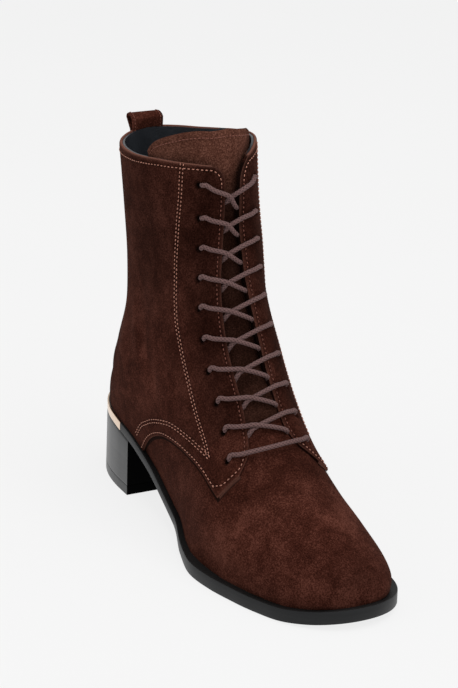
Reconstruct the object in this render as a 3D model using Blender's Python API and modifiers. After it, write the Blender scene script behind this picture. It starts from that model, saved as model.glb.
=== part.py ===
"""Block heel boot: a right ankle boot in suede, laced at the front, with a zip on its inner side.

Local frame in millimetres: x runs from the heel's back to the toe, y from the outer (lateral, -)
to the inner (medial, +) side, z up from the floor.  Meshes are scaled to metres.
"""
import functools
import math

import bmesh
import bpy
import numpy as np
from mathutils import Matrix, Vector

MM = 0.001

# Driving dimensions
LENGTH = 250.0          # last length, heel to toe
BALL_WIDTH = 84.0       # across the ball of the foot
INSTEP = 94.0           # top of the instep over the floor
HEEL_HEIGHT = 38.6      # underside of the outsole at the heel's back
SOLE = 7.4              # outsole thickness at the forefoot
WALL = 1.6              # vamp and lining wall of the upper
QUARTER = 1.3           # quarter leather laid over that wall
GAP = 0.3               # clearance between pieces that meet
LACE = 2.5              # lace diameter
EYELET_SET = 12.3       # eyelet row from the facing's edge
TOP_LIFT = 6.0          # wearing layer under the heel block
HEEL_BREAST = 51.0      # heel's flat front at the outsole
HEEL_FLARE = 2.0        # back of the heel, further out at the floor
BREAST_RAKE = -1.0      # breast at the floor, behind its top
BAND = 1.0              # metal band around the heel seat
BAND_END = 39.5         # how far forward the band runs
INSOLE = 2.5
TONGUE = 2.2
FEATHER = 0.6           # upper's lower edge over the outsole

# Zip on the medial side: x of its line at the collar and at its foot, and the foot's height
ZIP_TOP_X, ZIP_FOOT_X, ZIP_FOOT_Z = 42.0, 46.0, 66.0
ZIP_ROW, ZIP_TOP_ROW, SLIDER_ROW = 14.06, 19.96, 19.76
ZIP_SLIT = 3.4          # half width of the slit
ZIP_OVERRUN = 0.4       # rows that the slit's cutter runs past the collar
ZIP_CHAIN, ZIP_TEETH = 5.4, 1.1
SLIDER_WIDTH, SLIDER_LENGTH, SLIDER_BODY = 8.4, 9.6, 2.2
SLIDER_TAPER = 0.8      # width of its upper end as a share of its lower one
SLIDER_SEAT = 2.0       # underside over the surface
BRIDGE_WIDTH, BRIDGE_SPAN, BRIDGE_BAR, BRIDGE_RISE = 2.4, 4.6, 1.1, 2.6
PULL_WIDTH, PULL_LENGTH, PULL_THICK = 6.8, 24.0, 1.3
PULL_RAIL, PULL_WINDOW, PULL_CORNER = 1.1, 7.6, 1.0

# Pull loop at the back of the collar: depth at foot and head, height, lean at the top, width
LOOP_FOOT, LOOP_WIDE, LOOP_RISE, LOOP_LEAN, LOOP_WIDTH = 5.2, 9.2, 12.0, 0.6, 20.0
LOOP_SEAT, STRAP = 0.4, 1.5
LOOP_HEAD = 0.62        # share of the height where its round head starts
LOOP_SEWN = 0.12        # share of the height where its two ends are sewn together

# Two strands of a crossing: side; where it starts, meets the near edge and lies down, as shares of the
# way from its eyelet to the next one below; its lift where it starts and where the strands cross
STRANDS = ((1, 0.58, 0.25, 0.11, 0.4, 0.9), (-1, 0.82, 0.36, 0.17, 0.6, 3.1))
LACE_CROSS, CROSS_GAP = 0.50, 0.28  # the crossing: share of that way, share of the gap from its lateral edge
LACE_TUCK = 0.8         # start from the far facing's edge, in lace diameters
CLOSED_LIFT = 0.75      # how much higher strands cross where the throat is closed

# Outsole in plan, per cent of length and of ball width: station, centre line, half width
SOLE_PLAN = np.array([
    (-6.4, 0.0, 36.6), (10.0, 0.0, 36.8), (20.0, -1.0, 36.6), (34.0, -2.4, 35.0),
    (46.0, -3.8, 36.2), (56.0, -5.2, 43.8), (64.8, -5.0, 50.2), (72.8, -1.9, 51.9),
    (81.6, 2.1, 50.0), (90.0, 5.2, 45.0), (98.0, 6.9, 38.8), (102.8, 7.4, 35.1)])
HEEL_END, TOE_END = -6.4, 102.8
# Round ends of the outline: where rounding starts (per cent of length), sharpness, fullness
TOE_ROUND = (88.0, 2.7, 2.2)
HEEL_ROUND = (16.0, 2.0, 1.9)

# Outsole from the side: station (per cent of length), underside (per cent of heel height),
# thickness and ledge outside the upper (per cent of the forefoot's thickness)
SOLE_SIDE = np.array([
    (-6.4, 100.0, 73.0, 46.0), (10.0, 97.4, 73.0, 44.0), (20.0, 89.6, 73.0, 42.0),
    (30.0, 67.4, 73.0, 43.0), (40.0, 37.6, 73.0, 46.0), (50.0, 13.5, 79.7, 49.0),
    (59.2, 1.6, 93.2, 53.0), (64.0, 0.0, 100.0, 56.0), (85.6, 0.0, 100.0, 56.0),
    (92.0, 1.0, 100.0, 56.0), (98.0, 5.2, 100.0, 56.0), (102.8, 10.9, 100.0, 56.0)])

# Sections of the upper from toe tip to collar, and two above it that only the tongue reaches.
# Each runs from the top line down to the feather edge (foot_z 0) or to the back seam.
# top_x, foot_x: per cent of length; top_z, foot_z: per cent of instep; ridge, lateral and medial
# half widths: per cent of ball width; widest: share of the way up; over, under: fullness of arcs
SECTION_COLUMNS = ("top_x", "top_z", "foot_x", "foot_z", "ridge", "lateral", "medial", "widest",
                   "over", "under")
SECTIONS = np.array([
    (101.2, 15.5, 101.2, 0.0, 7.4, 0.0, 0.0, 0.30, 1.90, 2.20),
    (101.0, 19.4, 100.9, 0.0, 7.4, 11.2, 11.0, 0.31, 1.90, 2.20),
    (100.4, 23.0, 100.0, 0.0, 7.3, 19.8, 19.0, 0.31, 1.88, 2.20),
    (99.2, 26.6, 98.2, 0.0, 7.0, 26.9, 25.8, 0.30, 1.84, 2.20),
    (97.0, 30.4, 95.4, 0.0, 6.5, 33.6, 32.2, 0.30, 1.80, 2.20),
    (93.6, 34.8, 91.6, 0.0, 5.7, 39.5, 38.0, 0.29, 1.76, 2.20),
    (88.8, 40.6, 86.4, 0.0, 4.3, 44.5, 43.2, 0.29, 1.74, 2.20),
    (82.8, 48.2, 79.8, 0.0, 2.6, 47.9, 47.0, 0.29, 1.75, 2.20),
    (76.6, 58.2, 72.4, 0.0, 1.2, 49.5, 48.8, 0.29, 1.80, 2.20),
    (70.6, 70.4, 64.0, 0.0, 0.7, 49.5, 46.9, 0.29, 1.88, 2.20),
    (65.2, 84.5, 54.4, 0.0, 1.0, 46.4, 43.3, 0.30, 1.98, 2.20),
    (60.4, 100.0, 43.2, 0.0, 1.4, 42.1, 41.2, 0.31, 2.10, 2.20),
    (56.2, 115.4, 31.2, 0.0, 1.9, 40.2, 40.0, 0.33, 2.20, 2.20),
    (52.8, 130.3, 18.4, 0.0, 2.3, 40.0, 39.6, 0.36, 2.28, 2.20),
    (50.2, 144.1, 5.0, 0.0, 2.4, 39.8, 39.4, 0.39, 2.32, 2.00),
    (48.4, 156.9, -4.6, 47.45, 2.4, 37.6, 39.2, 0.43, 2.32, 1.75),
    (47.0, 169.1, -4.2, 70.2, 2.4, 34.6, 38.8, 0.47, 2.30, 1.72),
    (45.8, 181.4, 0.5, 101.1, 2.1, 33.0, 38.1, 0.49, 2.24, 1.72),
    (44.7, 193.6, 3.2, 135.1, 1.7, 33.6, 37.2, 0.50, 2.18, 1.90),
    (43.8, 206.4, 3.9, 173.4, 1.0, 35.8, 37.4, 0.50, 2.12, 2.00),
    (42.8, 219.1, 3.4, 216.0, 0.2, 38.6, 38.8, 0.50, 2.05, 2.00),
    (41.6, 231.9, 3.0, 229.8, 0.0, 39.8, 39.8, 0.50, 2.02, 2.00),
    (40.4, 244.7, 2.6, 243.6, 0.0, 40.6, 40.6, 0.50, 2.00, 2.00)])
HEEL_ROW, COLLAR_ROW = 15, 20
COLLAR_ROW_Z = SECTIONS[COLLAR_ROW][1] * INSTEP / 100
LACE_REST = LACE / 2 + GAP + QUARTER + GAP      # lace's middle over the surface where it lies on a quarter

# How far the collar stands over a level rim: share of the way from front to back, lateral, medial
COLLAR_RISE = np.array([
    (0.0, 2.2, 2.2), (0.05, 1.9, 3.4), (0.1, 2.4, 4.9), (0.15, 2.9, 7.0), (0.2, 3.1, 8.8),
    (0.3, 3.1, 10.8), (0.4, 2.4, 10.3), (0.5, 1.8, 8.8), (0.6, 1.8, 7.0), (0.7, 2.0, 5.3),
    (0.8, 2.3, 4.3), (0.9, 3.1, 4.2), (1.0, 4.3, 4.3)])
RISE_ROW = 18.4         # section where that rise starts

# Facings: section, lateral edge and medial edge, as millimetres along the section from the top line
FACINGS = np.array([
    (9.0, -26.0, 25.0), (9.36, -18.0, 12.0), (10.0, -14.4, 6.4), (11.0, -12.8, 5.4),
    (12.4, -13.2, 4.6), (14.0, -12.0, 3.6), (15.5, -9.8, 2.4), (17.0, -6.8, 2.4),
    (18.6, -3.8, 4.6), (20.0, -1.6, 8.0)])
# Front lower edge of each quarter: section, lateral and medial distance along it from the top line
QUARTER_FRONT = np.array([
    (9.0, 42.8, 35.0), (10.16, 48.6, 46.0), (11.15, 59.9, 59.0), (11.8, 76.7, 76.7), (12.15, 90.5, 90.5),
    (12.3, 102.0, 102.0), (12.42, 122.0, 122.0)])
EYELET_ROWS = (19.34, 18.1, 16.87, 15.6, 14.35, 13.2, 12.2, 11.26, 10.42, 9.62)
FLAP_ROW, THROAT_ROW, THROAT_FULL_ROW = 9.0, 10.3, 11.8
TONGUE_DROP = 2.4       # how much deeper the tongue lies in front than at its sides, below the collar
TONGUE_EVEN_ROW = 20.4  # section above which it lies evenly deep
TONGUE_FRONT, TONGUE_HUG = 24.0, 36.0   # from the middle: where that ends, and where it hugs the wall
# Tongue: section, half width along the section; its top edge: distance along (lateral -), section
TONGUE_WIDTH = np.array([
    (9.7, 16.0), (11.0, 24.0), (13.2, 33.0), (16.3, 43.0), (20.0, 55.0), (22.0, 58.0)])
TONGUE_TOP = np.array([
    (-56.0, 20.1), (-52.0, 20.33), (-47.0, 20.6), (-36.0, 20.97), (-28.0, 21.18), (-20.0, 21.36),
    (-10.0, 21.5), (0.0, 21.52), (10.0, 21.32), (20.0, 20.97), (28.0, 20.68), (36.0, 20.42), (48.0, 20.2),
    (56.0, 20.0)])

# Mesh rows (section numbers) and columns (share of the way from throat to foot)
ROWS = (0.0, 0.5, 1.0, 1.6, 2.3, 3.0, 4.0, 5.0, 6.0, 7.0, 8.0, 9.0, 9.36, 10.0, 10.6, 11.2, 11.8,
        12.15, 12.3, 12.34, 12.38, 12.42, 13.0, 13.6, 14.2, 14.5, 14.75, 14.92, 15.0, 15.15, 15.6,
        16.3, 17.0, 17.75, 18.5, 19.25, 20.0)
TONGUE_COLUMNS = (-1.0, -0.82, -0.62, -0.42, -0.2, 0.0, 0.2, 0.42, 0.62, 0.82, 1.0)
TONGUE_ROWS = 13
COLUMNS = (0.0, 0.06, 0.13, 0.20, 0.28, 0.36, 0.45, 0.54, 0.63, 0.72, 0.80, 0.88, 0.94, 0.98, 1.0)
SECTION_POINTS = 40     # points along each arc of a section
SLOPE_ROW, SLOPE_RUN = 0.05, 0.6    # steps over which the surface's slope is read
FIRST_SLOPE_ROW, SLOPE_SPAN = 0.02, 0.6     # the same at the toe tip, where sections start from nothing
# Steps along the round pieces
HEEL_STATIONS, SOLE_STATIONS, INSOLE_STATIONS, HEEL_STEPS, BAND_STEPS, ZIP_STEPS = 25, 44, 30, 15, 14, 15

SUEDE = (0.052, 0.023, 0.017)
DARK_SUEDE = (0.045, 0.020, 0.015)
BLACK = (0.012, 0.012, 0.013)
CHARCOAL = (0.022, 0.022, 0.024)
GOLD = (0.83, 0.66, 0.47)
ANTIQUE_GOLD = (0.45, 0.34, 0.16)
LACE_BROWN = (0.095, 0.062, 0.052)


# Tables and outlines

def read(table, x, column):
    """Smooth reading of a table's column at x, with no overshoot between rows."""
    xs, ys = table[:, 0], table[:, column]
    step = np.diff(xs)
    slope = np.diff(ys) / step
    tangent = np.zeros(len(xs))
    tangent[0], tangent[-1] = slope[0], slope[-1]
    for i in range(1, len(xs) - 1):
        if slope[i - 1] * slope[i] > 0.0:
            before, after = 2 * step[i] + step[i - 1], step[i] + 2 * step[i - 1]
            tangent[i] = (before + after) / (before / slope[i - 1] + after / slope[i])
    x = np.clip(x, xs[0], xs[-1])
    i = np.clip(np.searchsorted(xs, x) - 1, 0, len(xs) - 2)
    t = (x - xs[i]) / step[i]
    return ((1 + 2 * t) * (1 - t) ** 2 * ys[i] + t * (1 - t) ** 2 * step[i] * tangent[i]
            + t * t * (3 - 2 * t) * ys[i + 1] + t * t * (t - 1) * step[i] * tangent[i + 1])


def sole_underside(x):
    return read(SOLE_SIDE, 100 * x / LENGTH, 1) * HEEL_HEIGHT / 100


def sole_top(x):
    return sole_underside(x) + read(SOLE_SIDE, 100 * x / LENGTH, 2) * SOLE / 100


def ledge(x):
    return read(SOLE_SIDE, 100 * x / LENGTH, 3) * SOLE / 100


def outline(x, inset=0.0):
    """Lateral and medial y of the sole's outline at station x, drawn in by an inset."""
    centre = read(SOLE_PLAN, 100 * x / LENGTH, 1) * BALL_WIDTH / 100
    half = read(SOLE_PLAN, 100 * x / LENGTH, 2) * BALL_WIDTH / 100 - inset
    start, sharp, full = TOE_ROUND
    end = TOE_END * LENGTH / 100 - inset
    toe = min(max((x - start * LENGTH / 100) / (end - start * LENGTH / 100), 0.0), 1.0)
    half *= (1 - toe ** sharp) ** (1 / full)
    start, sharp, full = HEEL_ROUND
    end = HEEL_END * LENGTH / 100 + inset
    heel = min(max((start * LENGTH / 100 - x) / (start * LENGTH / 100 - end), 0.0), 1.0)
    half *= (1 - heel ** sharp) ** (1 / full)
    return centre - half, centre + half


def stations(first, last, count):
    """Stations along x, close together at both round ends."""
    middle, reach = (first + last) / 2, (last - first) / 2
    return [middle - reach * math.cos(math.pi * i / (count - 1)) for i in range(count)]


# The upper's own surface

def between(a, b, c, d, t):
    """A place at t between b and c, on a smooth curve through all four."""
    return 0.5 * (2 * b + (c - a) * t + (2 * a - 5 * b + 4 * c - d) * t ** 2
                  + (3 * b - a - 3 * c + d) * t ** 3)


def section_values(s):
    """The section table read at section number s, on a smooth curve through its rows."""
    last = len(SECTIONS) - 1
    i = int(min(max(math.floor(s), 0), last - 1))
    t = s - i
    b, c = SECTIONS[i], SECTIONS[i + 1]
    a = SECTIONS[i - 1] if i > 0 else 2 * b - c
    d = SECTIONS[i + 2] if i + 2 <= last else 2 * c - b
    return dict(zip(SECTION_COLUMNS, between(a, b, c, d, t)))


@functools.lru_cache(maxsize=None)
def section(s, side):
    """Points down one side of section s; side is -1 lateral, +1 medial."""
    v = section_values(s)
    ridge = v["ridge"] * BALL_WIDTH / 100
    half = max(v["lateral" if side < 0 else "medial"], 0.0) * BALL_WIDTH / 100 + 1e-9
    foot_x = v["foot_x"] * LENGTH / 100
    foot_y, foot_z = ridge, v["foot_z"] * INSTEP / 100
    if s < HEEL_ROW:
        inset = ledge(foot_x)
        foot_x = max(min(foot_x, TOE_END * LENGTH / 100 - inset), HEEL_END * LENGTH / 100 + inset)
        foot_y = outline(foot_x, inset)[0 if side < 0 else 1]
        foot_z = sole_top(foot_x) + FEATHER
    top = np.array((v["top_x"] * LENGTH / 100, v["top_z"] * INSTEP / 100))
    foot = np.array((foot_x, foot_z))
    wide = foot + v["widest"] * (top - foot)
    share = min(max(side * (foot_y - ridge) / half, 0.0), 0.9999)
    turn = math.acos(share ** (v["under"] / 2))
    stretch = math.sin(turn) ** (2 / v["under"])
    upper_arc = np.linspace(0.0, math.pi / 2, SECTION_POINTS)
    lower_arc = np.linspace(0.0, turn, SECTION_POINTS)[1:]
    rise = np.cos(upper_arc) ** (2 / v["over"])
    fall = np.sin(lower_arc) ** (2 / v["under"]) / stretch
    xz = np.concatenate([wide + np.outer(rise, top - wide), wide + np.outer(fall, foot - wide)])
    y = ridge + side * half * np.concatenate([np.sin(upper_arc) ** (2 / v["over"]),
                                              np.cos(lower_arc) ** (2 / v["under"])])
    points = np.stack([xz[:, 0], y, xz[:, 1]], axis=-1)
    if s > RISE_ROW:
        run = run_lengths(points)
        higher = read(COLLAR_RISE, run / run[-1], 1 if side < 0 else 2)
        points[:, 2] += higher * min((s - RISE_ROW) / (COLLAR_ROW - RISE_ROW), 1.0) ** 2
    return points


def run_lengths(points):
    """Distance along a run of points, from its first."""
    return np.concatenate([[0.0], np.cumsum(np.linalg.norm(np.diff(points, axis=0), axis=1))])


def girth(s, side):
    """Length of one side of section s, from top line to foot."""
    return run_lengths(section(s, side))[-1]


def on_last(s, along):
    """Point of the surface at section s, a distance along it from the top line (lateral -, medial +)."""
    points = section(s, -1 if along < 0 else 1)
    run = run_lengths(points)
    return np.array([np.interp(abs(along), run, points[:, k]) for k in range(3)])


def skin(s, along, lift=0.0):
    """Point lifted off the surface along its normal, with the share of the girth kept for the slope."""
    point = on_last(s, along)
    if lift == 0.0:
        return point
    side = -1 if along < 0 else 1
    share = along / girth(s, side)
    low = max(s - SLOPE_ROW, FIRST_SLOPE_ROW)
    high = min(max(s + SLOPE_ROW, SLOPE_SPAN), len(SECTIONS) - 1)
    row = max(s, SLOPE_ROW)
    across = on_last(row, along + SLOPE_RUN) - on_last(row, along - SLOPE_RUN)
    onward = on_last(high, share * girth(high, side)) - on_last(low, share * girth(low, side))
    normal = np.cross(across, onward)
    return point + lift * normal / np.linalg.norm(normal)


def facing(s, side):
    """Facing edge at section s, along the section."""
    return float(read(FACINGS, s, 1 if side < 0 else 2))


def throat(s, side):
    """Edge of the wall's throat: closed below the throat row, then opening out to the facing."""
    middle = (facing(THROAT_FULL_ROW, -1) + facing(THROAT_FULL_ROW, 1)) / 2
    toeward = min(s / THROAT_ROW, 1.0)
    opening = min(max((s - THROAT_ROW) / (THROAT_FULL_ROW - THROAT_ROW), 0.0), 1.0) ** 0.5
    return middle * toeward * (1 - opening) + facing(s, side) * opening


def column_runs(s, side):
    """Where the mesh columns lie along one side of section s."""
    start, end = throat(s, side), side * girth(s, side)
    return [start + share * (end - start) for share in COLUMNS]


def zip_run(s):
    """Where the zip's middle crosses the medial side of section s."""
    points = section(s, 1)
    height = (points[:, 2] - ZIP_FOOT_Z) / (COLLAR_ROW_Z - ZIP_FOOT_Z)
    off = points[:, 0] - (ZIP_FOOT_X + (ZIP_TOP_X - ZIP_FOOT_X) * height)
    i = int(np.argmax(off < 0))
    t = off[i - 1] / (off[i - 1] - off[i])
    run = run_lengths(points)
    return float(run[i - 1] + t * (run[i] - run[i - 1]))


# Blender objects

def new_collection(name):
    collection = bpy.data.collections.new(name)
    bpy.context.scene.collection.children.link(collection)
    return collection


def material(name, colour, roughness, metallic=0.0):
    mat = bpy.data.materials.new(name)
    mat.use_nodes = True
    shader = mat.node_tree.nodes["Principled BSDF"]
    shader.inputs["Base Color"].default_value = (*colour, 1.0)
    shader.inputs["Roughness"].default_value = roughness
    shader.inputs["Metallic"].default_value = metallic
    return mat


def add_object(name, mesh, mat):
    obj = bpy.data.objects.new(name, mesh)
    obj.data.materials.append(mat)
    obj.parent = FRAME
    PARTS.objects.link(obj)
    return obj


def mesh_from(name, points, faces):
    """Mesh in metres from points in millimetres, with coinciding corners joined."""
    mesh = bpy.data.meshes.new(name)
    mesh.from_pydata([tuple(MM * float(v) for v in p) for p in points], [], faces)
    bm = bmesh.new()
    bm.from_mesh(mesh)
    bmesh.ops.remove_doubles(bm, verts=bm.verts, dist=2e-5)
    bmesh.ops.dissolve_degenerate(bm, edges=bm.edges, dist=1e-5)
    bm.to_mesh(mesh)
    bm.free()
    mesh.shade_smooth()
    mesh.set_sharp_from_angle(angle=math.radians(40))
    return mesh


def add_wall(name, outer, inner, mat, skip=()):
    """A wall between two like grids of points, closed along its edges, open at the cells in skip."""
    rows, columns = len(outer), len(outer[0])
    corner, faces_out = {}, []
    index = [corner.setdefault(tuple(np.round(p, 3)), len(corner)) for row in outer for p in row]
    for r in range(rows - 1):
        for c in range(columns - 1):
            a, b = index[r * columns + c], index[r * columns + c + 1]
            d, e = index[(r + 1) * columns + c + 1], index[(r + 1) * columns + c]
            if (r, c) not in skip:
                faces_out += [f for f in ((a, b, d), (a, d, e)) if len(set(f)) == 3]
    points = [None] * 2 * len(corner)
    for k, p, q in zip(index, (p for row in outer for p in row), (q for row in inner for q in row)):
        if points[k] is None:
            points[k], points[k + len(corner)] = p, q
    faces_in = [tuple(k + len(corner) for k in reversed(f)) for f in faces_out]
    sides = {(f[k], f[(k + 1) % 3]) for f in faces_out for k in range(3)}
    rim = [(b, a, a + len(corner), b + len(corner)) for a, b in sides if (b, a) not in sides]
    return add_object(name, mesh_from(name, points, faces_out + faces_in + rim), mat)


def add_shell(name, grid, thickness, mat):
    """A sheet of even thickness: an open grid of points on its outer face, thickened inwards."""
    rows, columns = len(grid), len(grid[0])
    quads = [(r * columns + c, r * columns + c + 1, (r + 1) * columns + c + 1, (r + 1) * columns + c)
             for r in range(rows - 1) for c in range(columns - 1)]
    mesh = mesh_from(name, [p for row in grid for p in row], quads)
    obj = add_object(name, mesh, mat)
    wall = obj.modifiers.new("Wall", "SOLIDIFY")
    wall.thickness = thickness * MM
    wall.offset = -1.0
    return obj


def add_slab(name, upper_edges, lower_edges, mat):
    """A closed layer lofted along x: each station has a lateral and a medial point, above and below."""
    rings = [(a[0], a[1], b[1], b[0]) for a, b in zip(upper_edges, lower_edges)]
    return add_loft(name, rings, mat)


def add_loft(name, rings, mat):
    """A closed solid through rings of points, all with the same count, closed at both ends."""
    count = len(rings[0])
    faces = [tuple(range(count))]
    faces.append(tuple(reversed(range((len(rings) - 1) * count, len(rings) * count))))
    for r in range(len(rings) - 1):
        for k in range(count):
            n = (k + 1) % count
            faces.append((r * count + n, r * count + k, (r + 1) * count + k, (r + 1) * count + n))
    mesh = mesh_from(name, [p for ring in rings for p in ring], faces)
    bm = bmesh.new()
    bm.from_mesh(mesh)
    bmesh.ops.recalc_face_normals(bm, faces=bm.faces)
    bm.to_mesh(mesh)
    bm.free()
    return add_object(name, mesh, mat)


def make_cutter(obj):
    """Keep a piece that only cuts or joins others out of the parts."""
    PARTS.objects.unlink(obj)
    CUTTERS.objects.link(obj)
    obj.hide_render = True
    obj.display_type = "WIRE"


def boolean(obj, name, operation, other):
    modifier = obj.modifiers.new(name, "BOOLEAN")
    modifier.operation = operation
    modifier.object = other


# Sole and heel

def sole_places():
    """Stations of the outsole, and how far its outline is drawn in there for the band at the heel."""
    ends = (HEEL_END * LENGTH / 100, TOE_END * LENGTH / 100)
    drawn_in = BAND + GAP
    back = stations(ends[0] + drawn_in, 2 * BAND_END - ends[0], HEEL_STATIONS)
    places = [(x, drawn_in) for x in back if x < BAND_END]
    places += [(BAND_END, drawn_in), (BAND_END + GAP, 0.0)]
    return places + [(x, 0.0) for x in stations(*ends, SOLE_STATIONS) if x > BAND_END + 4 * BAND]


def add_outsole():
    """Outsole with arch and toe spring."""
    upper_edges, lower_edges = [], []
    for x, inset in sole_places():
        lateral, medial = outline(x, inset)
        upper_edges.append(((x, lateral, sole_top(x)), (x, medial, sole_top(x))))
        lower_edges.append(((x, lateral, sole_underside(x)), (x, medial, sole_underside(x))))
    add_slab("outsole", upper_edges, lower_edges, SOLE_BLACK)


def add_insole():
    """Insole inside the upper's wall, from heel to toe."""
    upper_edges, lower_edges = [], []
    inner = 2 * WALL + 4 * GAP
    first = HEEL_END * LENGTH / 100 + ledge(0.0) + inner
    last = TOE_END * LENGTH / 100 - ledge(LENGTH) - inner
    for x in stations(first, last, INSOLE_STATIONS):
        lateral, medial = outline(x, ledge(x) + inner)
        low = sole_top(x) + GAP
        upper_edges.append(((x, lateral, low + INSOLE), (x, medial, low + INSOLE)))
        lower_edges.append(((x, lateral, low), (x, medial, low)))
    add_slab("insole", upper_edges, lower_edges, LINING_BLACK)


def heel_place(x, height):
    """Heel outline at a share of its height: its back and breast lean out towards the floor."""
    back = HEEL_END * LENGTH / 100
    t = (x - back) / (HEEL_BREAST - back)
    return x - (HEEL_FLARE - t * (HEEL_FLARE + BREAST_RAKE)) * (1 - height)


def add_heel():
    """Block heel: round at the back, flat at the breast, with its top lift below."""
    back = HEEL_END * LENGTH / 100
    turns = [math.pi / 2 * i / HEEL_STEPS for i in range(HEEL_STEPS + 1)]
    places = [back + (HEEL_BREAST - back) * (1 - math.cos(turn)) for turn in turns]
    block_top, block_foot, lift_top, lift_foot = [], [], [], []
    for x in places:
        y = outline(x, 0.0)
        floor_x = heel_place(x, 0.0)
        lift_x = heel_place(x, TOP_LIFT / HEEL_HEIGHT)
        top_z = sole_underside(x) - GAP
        block_top.append(tuple((x, v, top_z) for v in y))
        block_foot.append(tuple((lift_x, v, TOP_LIFT + GAP) for v in y))
        lift_top.append(tuple((lift_x, v, TOP_LIFT) for v in y))
        lift_foot.append(tuple((floor_x, v, 0.0) for v in y))
    add_slab("heel", block_top, block_foot, HEEL_BLACK)
    add_slab("top_lift", lift_top, lift_foot, LIFT_BLACK)


def add_heel_band():
    """Metal band let into the outsole's edge, from one side of the heel around its back to the other."""
    back = HEEL_END * LENGTH / 100
    rings = []
    for i in range(-BAND_STEPS, BAND_STEPS + 1):
        side = 0 if i < 0 else 1
        forward = 1 - math.cos(math.pi / 2 * i / BAND_STEPS)
        x = back + (BAND_END - GAP - back) * forward
        inner_x = x + BAND * (1 - forward)
        outer_y, inner_y = outline(x)[side], outline(inner_x, BAND)[side]
        low, high = sole_underside(x) + GAP, sole_top(x) - GAP
        rings.append(((x, outer_y, low), (inner_x, inner_y, low),
                      (inner_x, inner_y, high), (x, outer_y, high)))
    add_loft("heel_band", rings, BAND_GOLD)


# Upper, quarters and tongue

def add_upper():
    """The hollow wall of vamp and lining: open at collar, throat and underneath."""
    outer, inner = [], []
    for s in ROWS:
        runs = [*reversed(column_runs(s, -1)), *column_runs(s, 1)]
        outer.append([on_last(s, a) for a in runs])
        inner.append([over_sole(skin(s, a, -WALL), FEATHER) for a in runs])
    middle = len(COLUMNS) - 1
    throat_cells = {(r, middle) for r, s in enumerate(ROWS) if s >= THROAT_ROW}
    add_wall("upper", outer, inner, UPPER_SUEDE, throat_cells)


def over_sole(point, clearance):
    """The point, raised where it lies less than a clearance over the outsole's top."""
    return np.array((point[0], point[1], max(point[2], sole_top(point[0]) + clearance)))


def add_quarter(name, side):
    """A quarter over the wall: the wall's own columns, held between facing and lower front edge."""
    outer, inner = [], []
    for s in ROWS[ROWS.index(FLAP_ROW):]:
        reach = girth(s, side) - GAP if s > HEEL_ROW else abs(column_runs(s, side)[-2])
        if s < QUARTER_FRONT[-1][0]:
            reach = min(reach, float(read(QUARTER_FRONT, s, 1 if side < 0 else 2)))
        near, far = sorted((facing(s, side), side * reach))
        runs = sorted(min(max(a, near), far) for a in column_runs(s, side))
        outer.append([over_sole(skin(s, a, GAP + QUARTER), 2 * GAP) for a in runs])
        inner.append([over_sole(skin(s, a, GAP), 2 * GAP) for a in runs])
    return add_wall(name, outer, inner, UPPER_SUEDE)


def add_quarters():
    """Quarters laid over the wall; the medial one is slit from the collar down for the zip."""
    add_quarter("quarter_lateral", -1)
    medial = add_quarter("quarter_medial", 1)
    strip = zip_strip(ZIP_SLIT, 2 * QUARTER + GAP, ZIP_OVERRUN)
    slit = add_shell("zip_slit", strip, 2 * QUARTER + GAP / 2, UPPER_SUEDE)
    make_cutter(slit)
    boolean(medial, "Slit", "DIFFERENCE", slit)


def tongue_depth(s, along):
    """How far the tongue lies below the surface: deeper in front, where the lace runs under the facings."""
    front = min(max((TONGUE_HUG - abs(along)) / (TONGUE_HUG - TONGUE_FRONT), 0.0), 1.0)
    laced = min(max(s - TONGUE_WIDTH[0][0], 0.0), max(TONGUE_EVEN_ROW - s, 0.0), 1.0)
    return WALL + 4 * GAP + TONGUE_DROP * front * laced


def add_tongue():
    """Wide tongue under the facings, its round top standing above the collar."""
    foot = TONGUE_WIDTH[0][0]
    grid = []
    for r in range(TONGUE_ROWS + 1):
        row = []
        for share in TONGUE_COLUMNS:
            top = float(read(TONGUE_TOP, share * TONGUE_WIDTH[-2][1], 1))
            s = foot + (top - foot) * r / TONGUE_ROWS
            along = share * float(read(TONGUE_WIDTH, s, 1))
            row.append(skin(s, along, -tongue_depth(s, along)))
        grid.append(row)
    add_shell("tongue", grid, TONGUE, TONGUE_SUEDE)


# Laces

def eyelet(i, side):
    """Eyelet i of one side: its section and its place along it."""
    s = EYELET_ROWS[i]
    return s, facing(s, side) + side * EYELET_SET


def smooth_run(points, per_span):
    """Points on a smooth curve through the given ones."""
    ends = [2 * points[0] - points[1], *points, 2 * points[-1] - points[-2]]
    run = []
    for a, b, c, d in zip(ends, ends[1:], ends[2:], ends[3:]):
        run += [between(a, b, c, d, k / per_span) for k in range(per_span)]
    return run + [points[-1]]


def add_tube(name, points, diameter, mat):
    """A round cord along points, made a closed mesh."""
    curve = bpy.data.curves.new(name, "CURVE")
    curve.dimensions = "3D"
    curve.bevel_depth = diameter / 2 * MM
    curve.bevel_resolution = 1
    curve.use_fill_caps = True
    spline = curve.splines.new("POLY")
    spline.points.add(len(points) - 1)
    for target, p in zip(spline.points, points):
        target.co = (*(Vector(p) * MM), 1.0)
    return made_mesh(name, curve, mat)


def made_mesh(name, curve, mat):
    """The part that a curve describes, as a mesh with its caps joined on."""
    guide = bpy.data.objects.new(name + "_guide", curve)
    PARTS.objects.link(guide)
    mesh = bpy.data.meshes.new_from_object(guide.evaluated_get(bpy.context.evaluated_depsgraph_get()))
    bpy.data.objects.remove(guide)
    bm = bmesh.new()
    bm.from_mesh(mesh)
    bmesh.ops.remove_doubles(bm, verts=bm.verts, dist=1e-6)
    bmesh.ops.recalc_face_normals(bm, faces=bm.faces)
    bm.to_mesh(mesh)
    bm.free()
    mesh.materials.clear()
    return add_object(name, mesh, mat)


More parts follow.
